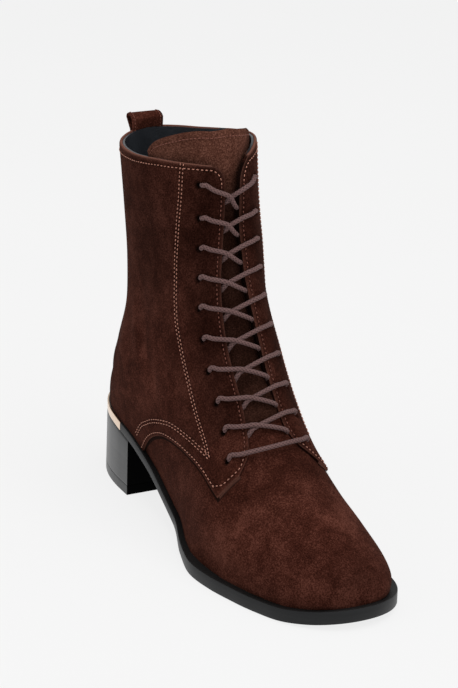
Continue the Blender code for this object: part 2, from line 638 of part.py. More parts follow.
def lace_leg(i, side, start_share, edge_share, land_share, start_lift, cross_lift):
    """One strand of crossing i, from under the far facing's edge up over the near one to its eyelet."""
    s, run = eyelet(i, side)
    start, cross, edge, land = (s + share * (EYELET_ROWS[i + 1] - s)
                                for share in (start_share, LACE_CROSS, edge_share, land_share))
    if start <= THROAT_FULL_ROW:
        start_lift += LACE / 2
        cross_lift += CLOSED_LIFT
    gap_edges = facing(cross, -1), facing(cross, 1)
    route = ((start, facing(start, -side) + side * LACE_TUCK * LACE, start_lift),
             (cross, gap_edges[0] + CROSS_GAP * (gap_edges[1] - gap_edges[0]), cross_lift),
             (edge, facing(edge, side), LACE_REST + 2 * GAP),
             (land, facing(s, side) + side * EYELET_SET / 2, LACE_REST + GAP),
             (s, run, LACE_REST + GAP / 2))
    return smooth_run([skin(*place) for place in route], 2)


def add_laces():
    """Straight bar at the bottom eyelets, then one crossing for each pair above."""
    bottom = len(EYELET_ROWS) - 1
    row = EYELET_ROWS[bottom]
    ends = [skin(*eyelet(bottom, side), LACE_REST + GAP / 2) for side in (-1, 1)]
    edges = [skin(row, facing(row, side), LACE_REST + 2 * GAP) for side in (-1, 1)]
    add_tube("lace_bar", smooth_run([ends[0], edges[0], edges[1], ends[1]], 3), LACE, LACE_CORD)
    for i in range(bottom):
        name = f"lace_cross_{i + 1}"
        under, over = (lace_leg(i, *strand) for strand in STRANDS)
        crossing = add_tube(name, under, LACE, LACE_CORD)
        second = add_tube(name + "_over", over, LACE, LACE_CORD)
        make_cutter(second)
        boolean(crossing, "Crossing", "UNION", second)


# Pull loop and zip

def add_outline(name, outer, inner, depth, mat):
    """A flat piece: an outline with a window, extruded to a depth about its middle plane."""
    curve = bpy.data.curves.new(name, "CURVE")
    curve.dimensions = "2D"
    curve.fill_mode = "BOTH"
    curve.extrude = depth / 2 * MM
    for ring in (outer, inner):
        spline = curve.splines.new("POLY")
        spline.points.add(len(ring) - 1)
        for target, (u, v) in zip(spline.points, ring):
            target.co = (u * MM, v * MM, 0.0, 1.0)
        spline.use_cyclic_u = True
    return made_mesh(name, curve, mat)


def loop_ring(inset):
    """Side outline of the pull loop: narrow at the rim, round at the top; inset gives its inner face."""
    half = []
    for t in (0.0, 0.2, 0.4, 0.6):
        swell = math.sin(math.pi / 2 * t)
        half.append(((LOOP_FOOT + (LOOP_WIDE - LOOP_FOOT) * swell) / 2, LOOP_RISE * t))
    for angle in (math.pi / 2 * k / 5 for k in range(1, 6)):
        height = LOOP_HEAD + (1 - LOOP_HEAD) * math.sin(angle)
        half.append((LOOP_WIDE / 2 * math.cos(angle), LOOP_RISE * height))
    if inset:
        half = [(max(u - inset, 0.0), v) for u, v in half if v < LOOP_RISE - inset]
        half[0] = (0.0, LOOP_RISE * LOOP_SEWN)
        half.append((0.0, LOOP_RISE - inset))
    mirror = [(-u, v) for u, v in reversed(half) if u > 0.0]
    return [(u - LOOP_LEAN * (v / LOOP_RISE) ** 1.5, v) for u, v in half + mirror]


def add_pull_loop():
    """Strap loop that stands on the collar's back edge, its ends sewn between quarter and lining."""
    loop = add_outline("pull_loop", loop_ring(0.0), loop_ring(STRAP), LOOP_WIDTH, UPPER_SUEDE)
    rim = Vector(on_last(COLLAR_ROW, girth(COLLAR_ROW, 1)))
    seat = Matrix.Translation((rim + Vector((0.0, 0.0, LOOP_SEAT))) * MM)
    loop.matrix_local = seat @ Matrix.Rotation(math.pi / 2, 4, "X")


def zip_strip(half_width, lift, overrun=0.0):
    """Grid along the zip's line, at a lift over the surface."""
    rows = np.linspace(ZIP_ROW, ZIP_TOP_ROW + overrun, ZIP_STEPS)
    return [[skin(s, zip_run(s) + k * half_width, lift) for k in (-1, 0, 1)] for s in rows]


def zip_frame(s, lift):
    """Axes on the zip's line at section s: across it, along it upwards, and out of the surface."""
    place = skin(s, zip_run(s), lift)
    along = Vector(skin(s + 0.1, zip_run(s + 0.1), lift) - place).normalized()
    out = Vector(place - skin(s, zip_run(s), 0.0)).normalized()
    across = along.cross(out).normalized()
    axes = Matrix((across, along, across.cross(along))).transposed().to_4x4()
    return Matrix.Translation(Vector(place) * MM) @ axes


def box_rings(width, length, low, high, narrow=1.0):
    """Two rings of a block with its long side along the zip, narrower at the top end."""
    ring = [(-width / 2, -length / 2), (width / 2, -length / 2), (narrow * width / 2, length / 2),
            (-narrow * width / 2, length / 2)]
    return [[(u, v, z) for u, v in ring] for z in (low, high)]


def add_slider():
    """Zip slider with its bridge, near the top of the chain."""
    block = box_rings(SLIDER_WIDTH, SLIDER_LENGTH, 0.0, SLIDER_BODY, SLIDER_TAPER)
    body = add_loft("zip_slider", block, ZIP_METAL)
    inner, outer = BRIDGE_SPAN / 2, BRIDGE_SPAN / 2 + BRIDGE_BAR
    low, high = SLIDER_BODY - BRIDGE_BAR, SLIDER_BODY + BRIDGE_RISE
    profile = ((-outer, low), (-inner, low), (-inner, high), (inner, high), (inner, low), (outer, low),
               (outer, high + BRIDGE_BAR), (-outer, high + BRIDGE_BAR))
    faces = [[(u, v, z) for v, z in profile] for u in (-BRIDGE_WIDTH / 2, BRIDGE_WIDTH / 2)]
    bridge = add_loft("zip_bridge", faces, ZIP_METAL)
    for piece in (body, bridge):
        piece.matrix_local = zip_frame(SLIDER_ROW, SLIDER_SEAT)
    make_cutter(bridge)
    boolean(body, "Bridge", "UNION", bridge)


def add_zip():
    """Zip chain in the slit, its slider, and the pull tab that hangs on the slider's bridge."""
    add_shell("zip_chain", zip_strip(ZIP_CHAIN / 2, GAP + QUARTER), ZIP_TEETH, ZIP_METAL)
    add_slider()
    half, bar, foot = PULL_WIDTH / 2, PULL_THICK / 2, -PULL_LENGTH
    near, above = half - PULL_CORNER, foot + PULL_CORNER
    tab = ((-half, bar), (-half, above), (-near, foot), (near, foot), (half, above), (half, bar))
    side = half - PULL_RAIL
    window = ((-side, -bar), (side, -bar), (side, -PULL_WINDOW), (-side, -PULL_WINDOW))
    pull = add_outline("zip_pull", tab, window, PULL_THICK, PULL_METAL)
    pull.matrix_local = zip_frame(SLIDER_ROW, SLIDER_SEAT + SLIDER_BODY + BRIDGE_RISE / 2)


def stand_on_origin():
    """Move the frame so that the middle of the boot's underside lies at the origin."""
    bpy.context.view_layer.update()
    pieces = [obj for obj in PARTS.objects if obj.type == "MESH"]
    corners = [obj.matrix_world @ Vector(c) for obj in pieces for c in obj.bound_box]
    low = [min(c[k] for c in corners) for k in range(3)]
    high = [max(c[k] for c in corners) for k in range(3)]
    FRAME.location = (-(low[0] + high[0]) / 2, -(low[1] + high[1]) / 2, -low[2])


for old in list(bpy.data.objects):
    bpy.data.objects.remove(old)
PARTS = new_collection("block_heel_boot")
CUTTERS = new_collection("cutters")
FRAME = bpy.data.objects.new("boot_frame", None)
PARTS.objects.link(FRAME)

UPPER_SUEDE = material("upper_suede", SUEDE, 0.95)
TONGUE_SUEDE = material("tongue_suede", DARK_SUEDE, 0.95)
SOLE_BLACK = material("sole_black", CHARCOAL, 0.5)
HEEL_BLACK = material("heel_black", CHARCOAL, 0.45)
LIFT_BLACK = material("lift_black", BLACK, 0.6)
LINING_BLACK = material("lining_black", BLACK, 0.55)
BAND_GOLD = material("band_gold", GOLD, 0.22, 1.0)
ZIP_METAL = material("zip_metal", ANTIQUE_GOLD, 0.4, 1.0)
PULL_METAL = material("pull_metal", ANTIQUE_GOLD, 0.38, 1.0)
LACE_CORD = material("lace_cord", LACE_BROWN, 0.8)

add_outsole()
add_heel()
add_heel_band()
add_insole()
add_upper()
add_quarters()
add_tongue()
add_laces()
add_pull_loop()
add_zip()
stand_on_origin()
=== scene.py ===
"""Looks of the block heel boot: a right ankle boot in brown suede, laced in front, zipped on its inner side.

Lengths are millimetres in the boot's own frame (x from the heel's back to the toe, y from the outer,
lateral side to the inner, medial one, z up from the floor) until a mesh is made in metres.  A place on the
upper is given by s, a section from the toe tip (0) over the collar's back (15) to the collar (20), and by
its distance along that section from the top line, lateral -, medial +.
"""
import functools
import math

import bmesh
import bpy
import numpy as np
from mathutils import Matrix, Vector
from mathutils.kdtree import KDTree


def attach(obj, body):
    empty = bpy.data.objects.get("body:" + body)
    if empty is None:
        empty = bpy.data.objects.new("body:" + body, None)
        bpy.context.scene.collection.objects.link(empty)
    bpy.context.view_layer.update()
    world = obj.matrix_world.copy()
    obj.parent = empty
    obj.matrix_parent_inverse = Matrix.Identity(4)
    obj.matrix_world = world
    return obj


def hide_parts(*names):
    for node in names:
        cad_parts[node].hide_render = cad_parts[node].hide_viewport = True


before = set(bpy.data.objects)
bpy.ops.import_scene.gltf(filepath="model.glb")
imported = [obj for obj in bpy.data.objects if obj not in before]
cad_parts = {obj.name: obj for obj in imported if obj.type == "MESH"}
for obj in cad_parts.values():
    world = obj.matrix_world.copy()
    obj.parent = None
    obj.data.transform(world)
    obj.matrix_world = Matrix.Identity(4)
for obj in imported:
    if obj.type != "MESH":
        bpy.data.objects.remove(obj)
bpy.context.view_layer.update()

MM = 0.001
SHIFT = np.array((-119.5, 1.381, 0.0))      # from the boot's own frame to the model's

LENGTH, BALL_WIDTH, INSTEP = 250.0, 84.0, 94.0
HEEL_HEIGHT, SOLE = 38.6, 7.4
WALL, QUARTER, GAP, TONGUE = 1.6, 1.3, 0.3, 2.2
OVER = GAP + QUARTER        # a quarter's face over the wall
LACE, EYELET_SET = 2.5, 12.3
BAND, BAND_END = 1.0, 39.5
TOP_LIFT, HEEL_BREAST, HEEL_FLARE, BREAST_RAKE = 6.0, 51.0, 2.0, -1.0
FEATHER = -0.4              # upper's lower edge, just below the outsole's top
COLLAR_ROW_Z = 219.1 * INSTEP / 100

ZIP_TOP_X, ZIP_FOOT_X, ZIP_FOOT_Z = 42.0, 46.0, 66.0
ZIP_ROW, ZIP_TOP_ROW, SLIDER_ROW, ZIP_SLIT = 14.06, 19.96, 19.76, 3.4
SLIDER_SEAT, SLIDER_BODY, BRIDGE_RISE = 2.0, 2.2, 2.6
PULL_WIDTH, PULL_LENGTH, PULL_THICK, PULL_RAIL, PULL_WINDOW = 6.8, 24.0, 1.3, 1.1, 7.6
LOOP_FOOT, LOOP_WIDE, LOOP_RISE, LOOP_LEAN, LOOP_WIDTH, LOOP_SEAT = 4.4, 9.0, 8.4, 1.2, 20.0, 0.2
LOOP_HEAD, LOOP_ASIDE, LOOP_BACK, LOOP_SEWN, STRAP = 0.62, -2.0, -1.4, 4.0, 1.5
LOOP_TONE = 1.45

SOLE_PLAN = np.array([
    (-6.4, 0.0, 36.6), (10.0, 0.0, 36.8), (20.0, -1.0, 36.6), (34.0, -2.4, 35.0),
    (46.0, -3.8, 36.2), (56.0, -5.2, 43.8), (64.8, -5.0, 50.2), (72.8, -1.9, 51.9),
    (81.6, 2.1, 50.0), (90.0, 5.2, 45.0), (98.0, 6.9, 38.8), (102.8, 7.4, 35.1)])
HEEL_END, TOE_END = -6.4 * LENGTH / 100, 102.8 * LENGTH / 100
TOE_ROUND = (88.0 * LENGTH / 100, 2.7, 2.2)
HEEL_ROUND = (16.0 * LENGTH / 100, 2.0, 1.9)
SOLE_SIDE = np.array([
    (-6.4, 100.0, 73.0, 46.0), (10.0, 97.4, 73.0, 44.0), (20.0, 89.6, 73.0, 42.0),
    (30.0, 67.4, 73.0, 43.0), (40.0, 37.6, 73.0, 46.0), (50.0, 13.5, 79.7, 49.0),
    (59.2, 1.6, 93.2, 53.0), (64.0, 0.0, 100.0, 56.0), (85.6, 0.0, 100.0, 56.0),
    (92.0, 1.0, 100.0, 56.0), (98.0, 5.2, 100.0, 56.0), (102.8, 10.9, 100.0, 56.0)])
SECTION_COLUMNS = ("top_x", "top_z", "foot_x", "foot_z", "ridge", "lateral", "medial", "widest",
                   "over", "under")
SECTIONS = np.array([
    (101.2, 15.5, 101.2, 0.0, 7.4, 0.0, 0.0, 0.30, 1.90, 2.20),
    (101.0, 19.4, 100.9, 0.0, 7.4, 11.2, 11.0, 0.31, 1.90, 2.20),
    (100.4, 23.0, 100.0, 0.0, 7.3, 19.8, 19.0, 0.31, 1.88, 2.20),
    (99.2, 26.6, 98.2, 0.0, 7.0, 26.9, 25.8, 0.30, 1.84, 2.20),
    (97.0, 30.4, 95.4, 0.0, 6.5, 33.6, 32.2, 0.30, 1.80, 2.20),
    (93.6, 34.8, 91.6, 0.0, 5.7, 39.5, 38.0, 0.29, 1.76, 2.20),
    (88.8, 40.6, 86.4, 0.0, 4.3, 44.5, 43.2, 0.29, 1.74, 2.20),
    (82.8, 48.2, 79.8, 0.0, 2.6, 47.9, 47.0, 0.29, 1.75, 2.20),
    (76.6, 58.2, 72.4, 0.0, 1.2, 49.5, 48.8, 0.29, 1.80, 2.20),
    (70.6, 70.4, 64.0, 0.0, 0.7, 49.5, 46.9, 0.29, 1.88, 2.20),
    (65.2, 84.5, 54.4, 0.0, 1.0, 46.4, 43.3, 0.30, 1.98, 2.20),
    (60.4, 100.0, 43.2, 0.0, 1.4, 42.1, 41.2, 0.31, 2.10, 2.20),
    (56.2, 115.4, 31.2, 0.0, 1.9, 40.2, 40.0, 0.33, 2.20, 2.20),
    (52.8, 130.3, 18.4, 0.0, 2.3, 40.0, 39.6, 0.36, 2.28, 2.20),
    (50.2, 144.1, 5.0, 0.0, 2.4, 39.8, 39.4, 0.39, 2.32, 2.00),
    (48.4, 156.9, -4.6, 47.45, 2.4, 37.6, 39.2, 0.43, 2.32, 1.75),
    (47.0, 169.1, -4.2, 70.2, 2.4, 34.6, 38.8, 0.47, 2.30, 1.72),
    (45.8, 181.4, 0.5, 101.1, 2.1, 33.0, 38.1, 0.49, 2.24, 1.72),
    (44.7, 193.6, 3.2, 135.1, 1.7, 33.6, 37.2, 0.50, 2.18, 1.90),
    (43.8, 206.4, 3.9, 173.4, 1.0, 35.8, 37.4, 0.50, 2.12, 2.00),
    (42.8, 219.1, 3.4, 216.0, 0.2, 38.6, 38.8, 0.50, 2.05, 2.00),
    (41.6, 231.9, 3.0, 229.8, 0.0, 39.8, 39.8, 0.50, 2.02, 2.00),
    (40.4, 244.7, 2.6, 243.6, 0.0, 40.6, 40.6, 0.50, 2.00, 2.00)])
HEEL_ROW, COLLAR_ROW = 15, 20
COLLAR_RISE = np.array([
    (0.0, 2.2, 2.2), (0.05, 1.9, 3.4), (0.1, 2.4, 4.9), (0.15, 2.9, 7.0), (0.2, 3.1, 8.8),
    (0.3, 3.1, 10.8), (0.4, 2.4, 10.3), (0.5, 1.8, 8.8), (0.6, 1.8, 7.0), (0.7, 2.0, 5.3),
    (0.8, 2.3, 4.3), (0.9, 3.1, 4.2), (1.0, 4.3, 4.3)])
RISE_ROW = 18.4
FACINGS = np.array([
    (9.0, -26.0, 25.0), (9.36, -18.0, 12.0), (10.0, -14.4, 6.4), (11.0, -12.8, 5.4),
    (12.4, -13.2, 4.6), (14.0, -12.0, 3.6), (15.5, -9.8, 2.4), (17.0, -6.8, 2.4),
    (18.6, -3.8, 4.6), (20.0, -1.6, 8.0)])
CORNER, CORNER_ROW = 8.0, 19.34     # rounding of each facing's top corner, and the section where it starts
QUARTER_FRONT = np.array([
    (9.0, 42.7, 35.0), (9.6, 45.6, 40.5), (10.08, 48.7, 45.3), (10.52, 53.1, 51.5), (10.9, 58.6, 57.3),
    (11.2, 63.5, 62.8), (11.47, 69.0, 69.0), (11.72, 75.1, 75.1), (11.93, 81.8, 81.8), (12.11, 90.3, 90.3),
    (12.22, 98.0, 98.0), (12.29, 107.0, 107.0), (12.33, 122.0, 122.0)])
EYELET_ROWS = (19.34, 18.1, 16.87, 15.6, 14.35, 13.2, 12.2, 11.26, 10.42, 9.62)
THROAT_ROW, THROAT_FULL_ROW, CLOSED_LIFT = 10.3, 11.8, 0.75
THROAT_OPENS, THROAT_TUCK = 0.35, 4.0      # sections over which it opens, and its tuck under a facing
TONGUE_DROP, TONGUE_FRONT, TONGUE_HUG, TONGUE_EVEN_ROW = 2.4, 24.0, 36.0, 20.4
TONGUE_SINK_ROW, TONGUE_SINK_RUN = 10.5, 1.7       # where it starts to sink under the wall, and how far on
TONGUE_FOOT_ROW, TONGUE_FOOT_RUN, TONGUE_FOOT_DEPTH, TONGUE_PROUD = 10.3, 0.6, 0.75, 0.15
TONGUE_ROW_MM = 12.5        # one section step near the tongue's top
TONGUE_TONE, TONGUE_SHADE, TONGUE_SHADE_RUN = 0.22, 1.25, 1.6   # its nap, and painted shade below the collar where it lies in the facings' shadow
TONGUE_STITCH_DROP = 0.30
TONGUE_WIDTH = np.array([
    (9.7, 16.0), (11.0, 24.0), (13.2, 33.0), (16.3, 43.0), (20.0, 55.0), (22.0, 58.0)])
TONGUE_TOP = np.array([
    (-56.0, 20.1), (-52.0, 20.33), (-47.0, 20.6), (-36.0, 20.97), (-28.0, 21.18), (-20.0, 21.36),
    (-10.0, 21.5), (0.0, 21.52), (10.0, 21.32), (20.0, 20.97), (28.0, 20.68), (36.0, 20.42), (48.0, 20.2),
    (56.0, 20.0)])
STRANDS = {1: (0.58, 0.25, 0.11, 0.4, 0.9), -1: (0.82, 0.36, 0.17, 0.6, 3.1)}
LACE_CROSS, CROSS_GAP, LACE_TUCK, BAR_DIP = 0.50, 0.28, 0.8, 0.36
LACE_REST = LACE / 2 + GAP + QUARTER + GAP
LACE_RISE = -2.6            # where a run starts to dip into its eyelet, from the eyelet
LACE_DIVE = ((-1.0, LACE_REST - 0.4), (0.1, 0.5))      # its way in: distance from the eyelet, lift
LACE_STEP, LACE_SIDES = 0.36, 16

# Seams as (section, distance along it): distances from the facing's edge for the upright seam
UPRIGHT_SEAM = ((19.97, 23.0), (19.0, 24.8), (17.84, 28.6), (16.6, 31.9), (14.92, 32.1), (13.67, 30.3),
                (12.34, 28.7), (11.44, 28.7), (10.56, 26.9), (10.18, 26.4))
ARCH_SEAM = ((12.66, 119.0), (12.64, 107.1), (12.56, 99.7), (12.48, 93.2), (12.33, 84.6), (12.16, 77.0),
             (11.94, 69.2), (11.68, 62.7), (11.4, 57.1), (11.08, 51.6), (10.76, 47.0), (10.45, 43.0),
             (10.2, 40.4))
COLLAR_STITCH_ROW = 19.86
FACING_SEAM, LOW_SEAM, SEAM_HALF_PAIR = 2.2, 2.0, 0.9   # rows from a facing and a low edge, half a double row
ZIP_SEAM, ZIP_SEAM_2, ZIP_SEAM_ROW, ZIP_SEAM_FOOT = 2.0, 4.2, 14.02, 13.9
STITCH_SHARE, STITCH_RADIUS = 0.55, 0.31        # a stitch's length in its pitch, and its thickness
ROW_MM = 13.0               # about one section step on the surface

# Soft folds: two ends as (section, distance along), half width, height (- for a trough)
FOLDS = (
    ((16.9, -104.0), (15.0, -112.0), 9.0, 0.9),
    ((16.2, -92.0), (14.7, -88.0), 5.5, 0.8),
    ((16.6, -80.0), (15.2, -78.0), 7.0, -0.6),
    ((14.7, -83.0), (13.2, -76.0), 6.0, -0.9),
    ((13.1, -60.0), (12.5, -52.0), 7.0, -0.6),
    ((18.4, -62.0), (17.0, -84.0), 11.0, -0.5),
    ((12.6, -62.0), (12.3, -78.0), 7.0, 0.5),
    ((8.6, -36.0), (7.9, -8.0), 6.0, -0.5),
    ((7.6, -52.0), (7.1, -16.0), 6.5, 0.45),
    ((7.2, 6.0), (8.2, 40.0), 7.0, -0.5),
    ((16.9, 100.0), (15.0, 108.0), 9.0, 0.8),
    ((15.9, 60.0), (14.2, 76.0), 9.0, -0.8),
    ((17.9, 54.0), (16.6, 74.0), 10.0, 0.5))


# Tables, sole outline and the upper's surface, as in the solids

def read(table, x, column):
    """Smooth reading of a table's column at x, with no overshoot between rows."""
    xs, ys = table[:, 0], table[:, column]
    step = np.diff(xs)
    slope = np.diff(ys) / step
    tangent = np.zeros(len(xs))
    tangent[0], tangent[-1] = slope[0], slope[-1]
    for i in range(1, len(xs) - 1):
        if slope[i - 1] * slope[i] > 0.0:
            before, after = 2 * step[i] + step[i - 1], step[i] + 2 * step[i - 1]
            tangent[i] = (before + after) / (before / slope[i - 1] + after / slope[i])
    x = np.clip(x, xs[0], xs[-1])
    i = np.clip(np.searchsorted(xs, x) - 1, 0, len(xs) - 2)
    t = (x - xs[i]) / step[i]
    return ((1 + 2 * t) * (1 - t) ** 2 * ys[i] + t * (1 - t) ** 2 * step[i] * tangent[i]
            + t * t * (3 - 2 * t) * ys[i + 1] + t * t * (t - 1) * step[i] * tangent[i + 1])


def sole_underside(x):
    return read(SOLE_SIDE, 100 * x / LENGTH, 1) * HEEL_HEIGHT / 100


def sole_top(x):
    return sole_underside(x) + read(SOLE_SIDE, 100 * x / LENGTH, 2) * SOLE / 100


def ledge(x):
    return read(SOLE_SIDE, 100 * x / LENGTH, 3) * SOLE / 100


def outline(x, inset=0.0):
    """Lateral and medial y of the sole's outline at station x, drawn in by an inset."""
    centre = read(SOLE_PLAN, 100 * x / LENGTH, 1) * BALL_WIDTH / 100
    half = read(SOLE_PLAN, 100 * x / LENGTH, 2) * BALL_WIDTH / 100 - inset
    start, sharp, full = TOE_ROUND
    toe = min(max((x - start) / (TOE_END - inset - start), 0.0), 1.0)
    half *= (1 - toe ** sharp) ** (1 / full)
    start, sharp, full = HEEL_ROUND
    heel = min(max((start - x) / (start - HEEL_END - inset), 0.0), 1.0)
    half *= (1 - heel ** sharp) ** (1 / full)
    return centre - half, centre + half


def between(a, b, c, d, t):
    """A place at t between b and c, on a smooth curve through all four."""
    return 0.5 * (2 * b + (c - a) * t + (2 * a - 5 * b + 4 * c - d) * t ** 2
                  + (3 * b - a - 3 * c + d) * t ** 3)


def section_values(s):
    """The section table read at section number s, on a smooth curve through its rows."""
    last = len(SECTIONS) - 1
    i = int(min(max(math.floor(s), 0), last - 1))
    b, c = SECTIONS[i], SECTIONS[i + 1]
    a = SECTIONS[i - 1] if i > 0 else 2 * b - c
    d = SECTIONS[i + 2] if i + 2 <= last else 2 * c - b
    return dict(zip(SECTION_COLUMNS, between(a, b, c, d, s - i)))


@functools.lru_cache(maxsize=None)
def section(s, side):
    """Points down one side of section s and their distances along it; side is -1 lateral, +1 medial."""
    v = section_values(s)
    ridge = v["ridge"] * BALL_WIDTH / 100
    half = max(v["lateral" if side < 0 else "medial"], 0.0) * BALL_WIDTH / 100 + 1e-9
    foot_x = v["foot_x"] * LENGTH / 100
    foot_y, foot_z = ridge, v["foot_z"] * INSTEP / 100
    if s < HEEL_ROW:
        inset = ledge(foot_x)
        foot_x = max(min(foot_x, TOE_END - inset), HEEL_END + inset)
        foot_y = outline(foot_x, inset)[0 if side < 0 else 1]
        foot_z = sole_top(foot_x) + FEATHER
    top = np.array((v["top_x"] * LENGTH / 100, v["top_z"] * INSTEP / 100))
    foot = np.array((foot_x, foot_z))
    wide = foot + v["widest"] * (top - foot)
    share = min(max(side * (foot_y - ridge) / half, 0.0), 0.9999)
    turn = math.acos(share ** (v["under"] / 2))
    stretch = math.sin(turn) ** (2 / v["under"])
    upper_arc = np.linspace(0.0, math.pi / 2, 140)
    lower_arc = np.linspace(0.0, turn, 140)[1:]
    rise = np.cos(upper_arc) ** (2 / v["over"])
    fall = np.sin(lower_arc) ** (2 / v["under"]) / stretch
    xz = np.concatenate([wide + np.outer(rise, top - wide), wide + np.outer(fall, foot - wide)])
    y = ridge + side * half * np.concatenate([np.sin(upper_arc) ** (2 / v["over"]),
                                              np.cos(lower_arc) ** (2 / v["under"])])
    points = np.stack([xz[:, 0], y, xz[:, 1]], axis=-1)
    if s > RISE_ROW:
        run = run_lengths(points)
        higher = read(COLLAR_RISE, run / run[-1], 1 if side < 0 else 2)
        points[:, 2] += higher * min((s - RISE_ROW) / (COLLAR_ROW - RISE_ROW), 1.0) ** 2
    return points, run_lengths(points)


def run_lengths(points):
    """Distance along a run of points, from its first."""
    return np.concatenate([[0.0], np.cumsum(np.linalg.norm(np.diff(points, axis=0), axis=1))])


def girth(s, side):
    """Length of one side of section s, from top line to foot."""
    return section(s, side)[1][-1]


def on_row(s, along):
    """Points of section s at distances along it."""
    out = np.empty((len(along), 3))
    for side in (-1, 1):
        pick = along < 0 if side < 0 else along >= 0
        points, run = section(s, side)
        for k in range(3):
            out[pick, k] = np.interp(np.abs(along[pick]), run, points[:, k])
    return out


def row_skin(s, along):
    """Points of section s at distances along it, and the surface's normals there."""
    along = np.asarray(along, dtype=float)
    lateral = along < 0
    share = along / np.where(lateral, girth(s, -1), girth(s, 1))
    low, row = max(s - 0.05, 0.02), max(s, 0.05)
    high = min(max(s + 0.05, 0.6), len(SECTIONS) - 1)
    inside = np.clip(along, -girth(row, -1), girth(row, 1))
    across = on_row(row, inside + 0.6) - on_row(row, inside - 0.6)
    onward = (on_row(high, share * np.where(lateral, girth(high, -1), girth(high, 1)))
              - on_row(low, share * np.where(lateral, girth(low, -1), girth(low, 1))))
    normal = np.cross(across, onward)
    return on_row(s, along), normal / np.linalg.norm(normal, axis=1)[:, None]


def skin(s, along, lift=0.0):
    """One point lifted off the surface along its normal."""
    point, normal = row_skin(s, [along])
    return point[0] + lift * normal[0]


def facing(s, side):
    """Facing edge at section s, along the section."""
    return read(FACINGS, s, 1 if side < 0 else 2)


def facing_edge(s, side):
    """The same edge with its rounded top corner."""
    up = min(max((s - CORNER_ROW) / (COLLAR_ROW - CORNER_ROW), 0.0), 0.995)
    return facing(s, side) + side * CORNER * (1 - math.sqrt(1 - up * up))


def throat(s, side):
    """Edge of the wall's throat: closed below the throat row, then soon hidden under the facing."""
    middle = (facing(THROAT_FULL_ROW, -1) + facing(THROAT_FULL_ROW, 1)) / 2
    opening = min(max((s - THROAT_ROW) / THROAT_OPENS, 0.0), 1.0) ** 0.5
    hidden = facing_edge(s, side) + THROAT_TUCK * side
    return middle * min(s / THROAT_ROW, 1.0) * (1 - opening) + hidden * opening


@functools.lru_cache(maxsize=None)
def zip_run(s):
    """Where the zip's middle crosses the medial side of section s."""
    points, run = section(s, 1)
    height = (points[:, 2] - ZIP_FOOT_Z) / (COLLAR_ROW_Z - ZIP_FOOT_Z)
    off = points[:, 0] - (ZIP_FOOT_X + (ZIP_TOP_X - ZIP_FOOT_X) * height)
    i = int(np.argmax(off < 0))
    t = off[i - 1] / (off[i - 1] - off[i])
    return float(run[i - 1] + t * (run[i] - run[i - 1]))


def tongue_depth(s, along):
    """How far the tongue lies below the surface: it leaves the vamp at the throat and sinks in above it."""
    front = min(max((TONGUE_HUG - abs(along)) / (TONGUE_HUG - TONGUE_FRONT), 0.0), 1.0)
    laced = min(max(s - TONGUE_WIDTH[0][0], 0.0), max(TONGUE_EVEN_ROW - s, 0.0), 1.0)
    full = WALL + 4 * GAP + TONGUE_DROP * front * laced
    sunk = min(max((s - TONGUE_SINK_ROW) / TONGUE_SINK_RUN, 0.0), 1.0)
    sunk = sunk * sunk * (3 - 2 * sunk)
    at_foot = TONGUE_FOOT_DEPTH * min(max((TONGUE_FOOT_ROW - s) / TONGUE_FOOT_RUN, 0.0), 1.0)
    return full * sunk + (at_foot - TONGUE_PROUD) * (1 - sunk)


def eyelet(i, side):
    """Eyelet i of one side: its section and its place along it."""
    s = EYELET_ROWS[i]
    return s, facing(s, side) + side * EYELET_SET


def fold(s, along):
    """Height of the soft folds at section s."""
    along = np.asarray(along, dtype=float)
    total = np.zeros_like(along)
    for (s0, a0), (s1, a1), width, height in FOLDS:
        u, v = ROW_MM * (s1 - s0), a1 - a0
        t = np.clip((ROW_MM * (s - s0) * u + (along - a0) * v) / (u * u + v * v), 0.0, 1.0)
        away = (ROW_MM * (s - s0) - t * u) ** 2 + (along - a0 - t * v) ** 2
        total += height * np.exp(-away / width ** 2)
    return total


def smooth_run(points, per_span):
    """Points on a smooth curve through the given ones."""
    points = [np.asarray(p, dtype=float) for p in points]
    ends = [2 * points[0] - points[1], *points, 2 * points[-1] - points[-2]]
    run = []
    for a, b, c, d in zip(ends, ends[1:], ends[2:], ends[3:]):
        run += [between(a, b, c, d, k / per_span) for k in range(per_span)]
    return np.array(run + [points[-1]])


def spaced(points, step):
    """Points at even steps along a run of points."""
    run = run_lengths(points)
    count = max(int(round(run[-1] / step)), 2)
    at = np.linspace(0.0, run[-1], count + 1)
    return np.stack([np.interp(at, run, points[:, k]) for k in range(points.shape[1])], axis=-1)


# Materials

